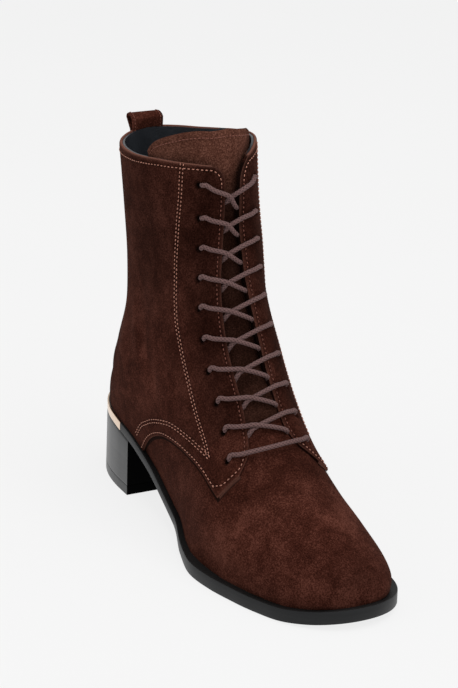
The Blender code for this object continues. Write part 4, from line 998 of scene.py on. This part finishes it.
def make_tongue(stitches):
    """Wide tongue under the facings, with a rounded edge and a row of stitches below its top."""
    foot = TONGUE_WIDTH[0][0]
    round_off = ((0.0, 1.1), (0.18, 0.62), (0.5, 0.28), (1.0, 0.06), (1.6, 0.0))
    shares = np.linspace(-1.0, 1.0, 84)
    heights = np.linspace(0.0, 1.0, 120)
    outer, inner, nap_and_shade = [], [], []
    for up in heights:
        for share in shares:
            top = read(TONGUE_TOP, share * TONGUE_WIDTH[-2][1], 1)
            s = foot + (top - foot) * up
            half = read(TONGUE_WIDTH, s, 1)
            along = share * half
            depth = tongue_depth(s, along)
            to_edge = min(half - abs(along), (1 - up) * (top - foot) * TONGUE_ROW_MM)
            cut = float(np.interp(to_edge, *zip(*round_off)))
            place, out = row_skin(round(s, 3), [along])
            ripple = 0.25 * math.sin(0.9 * s + 0.06 * along) * min(to_edge / 10.0, 1.0)
            outer.append(place[0] - (depth + cut - ripple) * out[0])
            inner.append(place[0] - (depth + TONGUE - cut) * out[0])
            # Painted shade on the tongue below the collar
            shaded = min(max((COLLAR_ROW - s) / TONGUE_SHADE_RUN, 0.0), 1.0)
            nap_and_shade.append(TONGUE_TONE + 0.05 * math.sin(0.11 * along + 1.3)
                       - TONGUE_SHADE * shaded * shaded * (3 - 2 * shaded))
    size = len(outer)
    faces = grid_faces(len(heights), len(shares))
    everything = shell_faces(faces, size)
    indices = [0] * len(faces) + [1] * len(faces) + [0] * (len(everything) - 2 * len(faces))
    nap_and_shade = np.exp(np.concatenate([nap_and_shade, nap_and_shade]))
    zero = np.zeros(2 * size)
    mesh = new_mesh("tongue_dressed", np.concatenate([outer, inner]), everything, (TONGUE_SUEDE, LINING),
                    indices, 60, True, {"tone": nap_and_shade, "edge": zero, "dark": zero})
    add_piece("tongue_dressed", mesh, ("tongue",))
    places, outs = [], []
    for share in np.linspace(-0.93, 0.93, 90):
        s = read(TONGUE_TOP, share * TONGUE_WIDTH[-2][1], 1) - TONGUE_STITCH_DROP
        along = share * read(TONGUE_WIDTH, s, 1)
        place, out = row_skin(s, [along])
        places.append(place[0] - (tongue_depth(s, along) - 0.1) * out[0])
        outs.append(out[0])
    stitches.row(np.array(places), np.array(outs), 2.2, 1.7, 0.30)


# Seams

def seam_run(path, aside):
    """A seam's path of (section, distance along) as points drawn aside on a quarter, and normals."""
    scaled = smooth_run([(ROW_MM * s, a) for s, a in path], 12)
    places, outs = [], []
    for u, along in spaced(scaled, 1.2):
        s = u / ROW_MM
        place, out = row_skin(s, [along])
        places.append(place[0] + (OVER + float(fold(s, [along])[0])) * out[0])
        outs.append(out[0])
    places, outs = np.array(places), np.array(outs)
    sideways = np.cross(outs, np.gradient(places, axis=0))
    return places + aside * sideways / np.linalg.norm(sideways, axis=1)[:, None], outs


def make_seams(side, stitches, dull_stitches, dark_stitches):
    """All stitch rows of one quarter; gives back their places, where the suede is drawn in."""
    upright = [(s, facing(s, side) + side * off) for s, off in UPRIGHT_SEAM]
    arch = [(s, side * min(a, girth(s, side) - 0.8)) for s, a in ARCH_SEAM]
    facing_row = [(s, facing(s, side) + side * FACING_SEAM) for s in np.linspace(19.2, 9.42, 28)]
    corner = []
    for turn in np.linspace(math.pi / 2, 0.0, 7):
        s = CORNER_ROW + (COLLAR_STITCH_ROW - CORNER_ROW) * math.sin(turn)
        corner.append((s, facing(s, side) + side * (CORNER - (CORNER - FACING_SEAM) * math.cos(turn))))
    low_edge = [(s, side * a) for s, a in FRONT_EDGES[side][::6] if s > 9.3 and a < girth(s, side) - 1.0]
    round_tip = [facing_row[-1], (9.18, side * 24.0), (9.13, side * 30.0), (9.15, side * 37.0),
                 (low_edge[0][0], low_edge[0][1] - 2.1 * side)]
    ends = girth(COLLAR_STITCH_ROW, side) - 1.0, side * corner[0][1] + 2.0
    collar = [(COLLAR_STITCH_ROW, side * a) for a in np.linspace(*ends, 40)]
    rows = [(round_tip, 0.0, 2.6), (low_edge, LOW_SEAM * side, 3.0)]
    rows += [(line, off, pitch) for line, pitch in ((upright, 2.3), (arch, 3.3))
             for off in (-SEAM_HALF_PAIR, SEAM_HALF_PAIR)]
    dulls = [(facing_row, 0.0, 2.5)]
    darks = []
    if side < 0:
        rows.append((collar + corner, 0.0, 2.5))
    else:
        at = zip_run(COLLAR_STITCH_ROW)
        rows.append(([(s, a) for s, a in collar if a < at - 9.0] + corner, 0.0, 2.5))
        rows.append(([(s, a) for s, a in collar if a > at + 6.5], 0.0, 2.5))
        levels = np.linspace(ZIP_SEAM_ROW, 19.9, 26)
        for off in (-(ZIP_SLIT + ZIP_SEAM), -(ZIP_SLIT + ZIP_SEAM_2), ZIP_SLIT + ZIP_SEAM):
            line = [(s, zip_run(max(s, ZIP_ROW)) + off) for s in levels]
            darks.append((line, 0.0, 1.9))
        foot = zip_run(ZIP_ROW)
        darks.append(([(ZIP_SEAM_ROW, foot - ZIP_SLIT - ZIP_SEAM), (ZIP_SEAM_FOOT, foot),
                       (ZIP_SEAM_ROW, foot + ZIP_SLIT + ZIP_SEAM)], 0.0, 1.9))
    marks = []
    for group, target in ((rows, stitches), (dulls, dull_stitches), (darks, dark_stitches)):
        for path, aside, pitch in group:
            places, outs = seam_run(path, aside)
            target.row(places, outs, pitch, STITCH_SHARE * pitch, STITCH_RADIUS)
            marks.append(spaced(places, 0.6))
    return np.concatenate(marks)


# Laces

def lace_strand(first_side):
    """Places of one half of the lace, from the middle of the bottom bar up to a top eyelet."""
    bottom = len(EYELET_ROWS) - 1
    side = first_side
    s, run = eyelet(bottom, side)
    other = eyelet(bottom, -side)[1]
    places = [skin(s - BAR_DIP * math.sin(math.pi * share), run + share * (other - run), LACE_REST + 2 * GAP)
              for share in (0.5, 0.38, 0.26, 0.14)]
    places.append(skin(s, run + LACE_RISE * side, LACE_REST))
    for i in range(bottom - 1, -1, -1):
        far, side = side, -side
        s_far, run_far = eyelet(i + 1, far)
        start_share, edge_share, land_share, start_lift, cross_lift = STRANDS[side]
        s, run = eyelet(i, side)
        start, cross, edge, land = (s + share * (s_far - s)
                                    for share in (start_share, LACE_CROSS, edge_share, land_share))
        if start <= THROAT_FULL_ROW:
            start_lift += LACE / 2
            cross_lift += CLOSED_LIFT
        gap = facing(cross, -1), facing(cross, 1)
        places += [skin(s_far, run_far + off * far, lift) for off, lift in LACE_DIVE]
        places += [skin(s_far + 0.05, run_far - 0.9 * far, -2.6),
                   skin(0.4 * s_far + 0.6 * start, 0.3 * run_far + 0.7 * facing(start, far), -3.1),
                   skin(start, facing(start, far) + side * LACE_TUCK * LACE, start_lift),
                   skin(cross, gap[0] + CROSS_GAP * (gap[1] - gap[0]), cross_lift),
                   skin(edge, facing(edge, side), LACE_REST + 2 * GAP),
                   skin(land, facing(s, side) + side * EYELET_SET / 2, LACE_REST + GAP),
                   skin(s, run + LACE_RISE * side, LACE_REST)]
    places += [skin(s, run + off * side, lift) for off, lift in LACE_DIVE]
    return places + [skin(s, run - 0.2 * side, -2.4), skin(s - 0.1, run - 2.0 * side, -2.8)]


def make_laces():
    """One round braided lace: bottom bar, crossings and the runs under the facings."""
    lateral, medial = lace_strand(-1), lace_strand(1)
    path = spaced(smooth_run([*reversed(lateral), *medial[1:]], 12), LACE_STEP)
    sides, ups = path_frames(path)
    length = LACE_STEP * np.arange(len(path))
    points, crowns = [], []
    for k in range(LACE_SIDES):
        angle = 2 * math.pi * k / LACE_SIDES
        weave = np.abs(np.sin(2 * angle + length * 1.5)) + np.abs(np.sin(2 * angle - length * 1.5))
        radius = LACE / 2 - 0.11 + 0.09 * weave
        points.append(path + radius[:, None] * (math.cos(angle) * sides + math.sin(angle) * ups))
        # Crowns for the braid's painted highlight, and painted shade between its strands
        crowns.append(0.5 * weave)
    points = np.stack(points, axis=1).reshape(-1, 3)
    crowns = np.stack(crowns, axis=1).reshape(-1)
    mesh = new_mesh("laces", points, ring_faces(len(path), LACE_SIDES), (LACE_CORD,),
                    attributes={"weave": crowns}, outward=True)
    nodes = ["lace_bar"] + [f"lace_cross_{i + 1}" for i in range(len(EYELET_ROWS) - 1)]
    add_piece("laces", mesh, nodes)


# Zip and pull loop

def zip_frame(s, lift):
    """Axes on the zip's line at section s: across it, along it upwards, and out of the surface."""
    place = skin(s, zip_run(s), lift)
    along = Vector(skin(s + 0.1, zip_run(s + 0.1), lift) - place).normalized()
    out = Vector(place - skin(s, zip_run(s), 0.0)).normalized()
    across = along.cross(out).normalized()
    axes = Matrix((across, along, across.cross(along))).transposed().to_4x4()
    return Matrix.Translation(Vector(place + SHIFT) * MM) @ axes


def make_zip():
    """Interlocked metal teeth in the slit, and the stops at the top of both sides."""
    levels = np.linspace(ZIP_ROW + 0.12, ZIP_TOP_ROW - 0.05, 80)
    path = np.array([skin(s, zip_run(s), 0.9) for s in levels])
    outs = np.array([row_skin(s, [zip_run(s)])[1][0] for s in levels])
    both = spaced(np.concatenate([path, outs], axis=1), 1.25)
    onward = np.gradient(both[:, :3], axis=0)
    points, faces = [], []
    for i, (row, ahead) in enumerate(zip(both, onward)):
        ahead = ahead / np.linalg.norm(ahead)
        out = row[3:] - ahead * np.dot(row[3:], ahead)
        out = out / np.linalg.norm(out)
        across = np.cross(ahead, out) * (1 if i % 2 else -1)
        start = len(points)
        for reach, wide, high in ((-0.9, 0.42, 0.30), (-0.6, 0.52, 0.46), (1.7, 0.52, 0.46),
                                  (2.3, 0.36, 0.24)):
            for u, v in ((-1, -1), (-0.6, 1), (0.6, 1), (1, -1)):
                points.append(row[:3] + across * reach + ahead * wide * u + out * high * v)
        faces += ring_faces(4, 4, start)
    mesh = new_mesh("zip_teeth", points, faces, (TEETH,), sharp=30, outward=True)
    add_piece("zip_teeth", mesh, ("zip_chain",))
    points, faces = [], []
    for off in (-(ZIP_SLIT - 1.0), ZIP_SLIT - 1.0):
        s = 19.93
        middle, out = row_skin(s, [zip_run(s) + off])
        ahead = skin(s + 0.05, zip_run(s + 0.05) + off) - middle[0]
        ahead = ahead / np.linalg.norm(ahead)
        across = np.cross(ahead, out[0])
        start = len(points)
        for reach, swell in ((-1.5, 0.55), (-1.1, 1.0), (1.1, 1.0), (1.5, 0.55)):
            for k in range(8):
                angle = math.pi * k / 4
                points.append(middle[0] + ahead * reach + out[0] * (1.1 + 0.6 * swell * math.sin(angle))
                              + across * 0.8 * swell * math.cos(angle))
        faces += ring_faces(4, 8, start)
    mesh = new_mesh("zip_stops", points, faces, (STOPS,), sharp=50, outward=True)
    add_piece("zip_stops", mesh)


def make_pull():
    """Pull tab with a window near its top, its edges rounded."""
    half, bar, foot = PULL_WIDTH / 2, PULL_THICK / 2, -PULL_LENGTH
    side = half - PULL_RAIL
    outer = rounded((-half, bar), (-half, foot), (half, foot), (half, bar), radii=(0.5, 1.6, 1.6, 0.5))
    inner = rounded((-side, -bar), (-side, -PULL_WINDOW), (side, -PULL_WINDOW), (side, -bar),
                    radii=(0.5,) * 4)
    count = len(outer)
    layers = ((0.28, -0.5), (0.0, -0.5 + 0.28 / PULL_THICK), (0.0, 0.5 - 0.28 / PULL_THICK), (0.28, 0.5))
    points = []
    for ring, sign in ((outer, -1), (inner, 1)):
        centre = ring.mean(axis=0)
        reach = (ring.max(axis=0) - ring.min(axis=0)) / 2
        for soft, level in layers:
            scale = (reach + sign * soft) / reach
            points += [(*(centre + (p - centre) * scale), level * PULL_THICK) for p in ring]
    faces = []
    for ring in range(2):
        for layer in range(3):
            for k in range(count):
                n = (k + 1) % count
                a = (ring * 4 + layer) * count
                faces.append((a + k, a + n, a + count + n, a + count + k))
    for layer in (0, 3):
        for k in range(count):
            n = (k + 1) % count
            a, b = layer * count, (4 + layer) * count
            faces.append((a + k, a + n, b + n, b + k))
    seat = zip_frame(SLIDER_ROW, SLIDER_SEAT + SLIDER_BODY + BRIDGE_RISE / 2)
    places = [np.array(seat @ (Vector(p) * MM)) / MM - SHIFT for p in points]
    mesh = new_mesh("pull_tab", places, faces, (ANTIQUE,), sharp=40, outward=True)
    add_piece("pull_tab", mesh, ("zip_pull",), "pull")


def rounded(*corners, radii):
    """A closed outline with rounded corners, eight points to a corner."""
    ring = []
    corners = [np.array(c, dtype=float) for c in corners]
    for i, (corner, radius) in enumerate(zip(corners, radii)):
        before = corners[i - 1] - corner
        after = corners[(i + 1) % len(corners)] - corner
        start = corner + radius * before / np.linalg.norm(before)
        end = corner + radius * after / np.linalg.norm(after)
        for t in np.linspace(0.0, 1.0, 8):
            ring.append((1 - t) ** 2 * start + 2 * t * (1 - t) * corner + t * t * end)
    return np.array(ring)


def loop_line():
    """Side outline of half the pull loop, from the rim to its top."""
    half = []
    for t in np.linspace(0.0, 0.6, 10):
        swell = math.sin(math.pi / 2 * t)
        half.append(((LOOP_FOOT + (LOOP_WIDE - LOOP_FOOT) * swell) / 2, LOOP_RISE * t))
    for angle in np.linspace(0.0, math.pi / 2, 14)[1:]:
        height = LOOP_HEAD + (1 - LOOP_HEAD) * math.sin(angle)
        half.append((LOOP_WIDE / 2 * math.cos(angle), LOOP_RISE * height))
    return np.array(half)


def make_loop(stitches):
    """Strap loop on the collar's back, sewn on outside: a folded band with rounded edges and stitch rows."""
    half = loop_line()
    run = np.concatenate([half, half[-2::-1] * (-1, 1), [(-LOOP_FOOT / 2, -LOOP_SEWN)]])
    lean = run[:, 0] - LOOP_LEAN * (np.maximum(run[:, 1], 0.0) / LOOP_RISE) ** 1.5
    run = np.stack([lean, run[:, 1]], axis=-1)
    run = spaced(run, 0.9)
    ahead = np.gradient(run, axis=0)
    ahead /= np.linalg.norm(ahead, axis=1)[:, None]
    out = np.stack([ahead[:, 1], -ahead[:, 0]], axis=-1)
    rim = skin(COLLAR_ROW, girth(COLLAR_ROW, 1) - 0.01) + (LOOP_BACK, LOOP_ASIDE, LOOP_SEAT)
    back = np.concatenate([section(COLLAR_ROW, -1)[0][-130:], section(COLLAR_ROW, 1)[0][:-131:-1]])

    def place(u, y, v):
        """A point of the strap: its feet follow the rim, its top is straight."""
        sewn = 1.0 - min(max(v / LOOP_RISE, 0.0), 1.0)
        bend = np.interp(rim[1] + y, back[:, 1], back[:, 0]) + LOOP_BACK - rim[0]
        climb = np.interp(rim[1] + y, back[:, 1], back[:, 2]) + LOOP_SEAT - rim[2]
        return rim + (u + bend * sewn, y, v + climb * sewn)

    half_width = LOOP_WIDTH / 2
    across = [-half_width, -half_width + 0.1, -half_width + 0.35, -half_width + 0.8]
    across = across + [-half_width * 0.5, 0.0, half_width * 0.5] + [-v for v in reversed(across)]
    soft = [0.5, 0.28, 0.1, 0.0, 0.0, 0.0, 0.0, 0.0, 0.1, 0.28, 0.5]
    columns = len(across)
    points = []
    for face in (0, 1):
        for (u, v), (a, b) in zip(run, out):
            for y, cut in zip(across, soft):
                deep = STRAP * cut if face == 0 else STRAP * (1 - cut)
                points.append(place(u - a * deep, y, v - b * deep))
    size = len(run) * columns
    everything = shell_faces(grid_faces(len(run), columns), size)
    zero = np.zeros(2 * size)
    mesh = new_mesh("loop_strap", points, everything, (SUEDE,), None, 60, True,
                    {"tone": zero + LOOP_TONE, "edge": zero, "dark": zero}, True)
    add_piece("loop_strap", mesh, ("pull_loop",))
    for y in (-half_width + 1.8, half_width - 1.8):
        places = np.array([place(u + 0.05 * a, y, v + 0.05 * b) for (u, v), (a, b) in zip(run, out)])
        stitches.row(places, np.array([(a, 0.0, b) for a, b in out]), 2.1, 1.6, 0.28)


# Stage

FLOOR_REACH = 6.0           # metres
# Lights: name, place in metres, size, power
LIGHTS = (("top", (0.5, 0.1, 2.2), 1.8, 30.0), ("front", (2.0, 0.2, 1.2), 1.6, 14.0),
          ("side", (-0.4, -2.0, 1.2), 1.6, 7.0))
# Camera fitted to the photograph's outlines: degrees, then pixels, and millimetres
AZIMUTH, ELEVATION, CAMERA_ROLL = 62.37, 19.10, 1.25
FOCAL_PIXELS, FRAME_HEIGHT, SENSOR = 2207.6, 688.0, 36.0
AIM, DISTANCE = np.array((120.0, -3.33, 111.44)), 1201.0


def make_stage():
    floor = bpy.data.meshes.new("floor")
    corners = ((-1, -1), (1, -1), (1, 1), (-1, 1))
    floor.from_pydata([(FLOOR_REACH * x, FLOOR_REACH * y, 0.0) for x, y in corners], [], [(0, 1, 2, 3)])
    finish = Finish("floor_white", Roughness=0.9, Specular_IOR_Level=0.0, Emission_Strength=1.0)
    tone = finish.ramp(finish.noise(3.0), ((0.0, (0.098,) * 3), (1.0, (0.102,) * 3)))
    finish.set(Emission_Color=finish.ramp(finish.noise(3.0), ((0.0, (0.808,) * 3), (1.0, (0.812,) * 3))))
    floor.materials.append(finish.set(Base_Color=tone))
    ground = bpy.data.objects.new("floor", floor)
    bpy.context.scene.collection.objects.link(ground)

    world = bpy.data.worlds.new("studio")
    world.use_nodes = True
    sky = world.node_tree.nodes["Background"]
    sky.inputs["Color"].default_value = (1.0, 1.0, 1.0, 1.0)
    sky.inputs["Strength"].default_value = 0.5
    bpy.context.scene.world = world
    bpy.context.scene.view_settings.view_transform = "Standard"
    for name, place, size, power in LIGHTS:
        data = bpy.data.lights.new(name, "AREA")
        data.size = size
        data.energy = power
        lamp = bpy.data.objects.new(name, data)
        lamp.location = place
        lamp.rotation_euler = (Vector((0.0, 0.0, 0.1)) - Vector(place)).to_track_quat("-Z", "Y").to_euler()
        bpy.context.scene.collection.objects.link(lamp)


def make_camera():
    """Camera at the photograph's angle."""
    azimuth, elevation, roll = math.radians(AZIMUTH), math.radians(ELEVATION), math.radians(CAMERA_ROLL)
    back = Vector((math.sin(azimuth) * math.cos(elevation), -math.cos(azimuth) * math.cos(elevation),
                   math.sin(elevation)))
    right = Vector((math.cos(azimuth), math.sin(azimuth), 0.0))
    up = back.cross(right)
    turned_right = right * math.cos(roll) + up * math.sin(roll)
    turned_up = up * math.cos(roll) - right * math.sin(roll)
    data = bpy.data.cameras.new("camera")
    data.sensor_width = SENSOR
    data.lens = FOCAL_PIXELS * SENSOR / FRAME_HEIGHT
    camera = bpy.data.objects.new("camera", data)
    axes = Matrix((turned_right, turned_up, back)).transposed().to_4x4()
    camera.matrix_world = Matrix.Translation((Vector(AIM + SHIFT) + DISTANCE * back) * MM) @ axes
    bpy.context.scene.collection.objects.link(camera)
    bpy.context.scene.camera = camera


make_camera()
make_stage()
copper, dull, dark = Stitches(), Stitches(), Stitches()
make_outsole()
make_heel_layer("heel_block", "heel", (HEEL_STACK, SHADED_BREAST_BLACK), TOP_LIFT + 0.1, None,
                (0.15, 0.7))
make_heel_layer("lift_layer", "top_lift", (LIFT_SIDE, SHADED_BREAST_BLACK), 0.0, TOP_LIFT,
                (0.7, 0.15))
make_band()
dress("insole", INSOLE, 0.4)
dress("zip_slider", ANTIQUE, 0.35)
make_vamp()
make_quarter("quarter_outer", -1, make_seams(-1, copper, dull, dark), "quarter_lateral")
make_quarter("quarter_inner", 1, make_seams(1, copper, dull, dark), "quarter_medial")
make_tongue(dull)
make_laces()
make_zip()
make_pull()
make_loop(dull)
for label, sewing, mat in (("stitching", copper, COPPER), ("dull_stitching", dull, DULL_THREAD),
                           ("zip_stitching", dark, DARK_THREAD)):
    sewn = new_mesh(label, sewing.points, sewing.faces, (mat,), outward=True)
    add_piece(label, sewn)
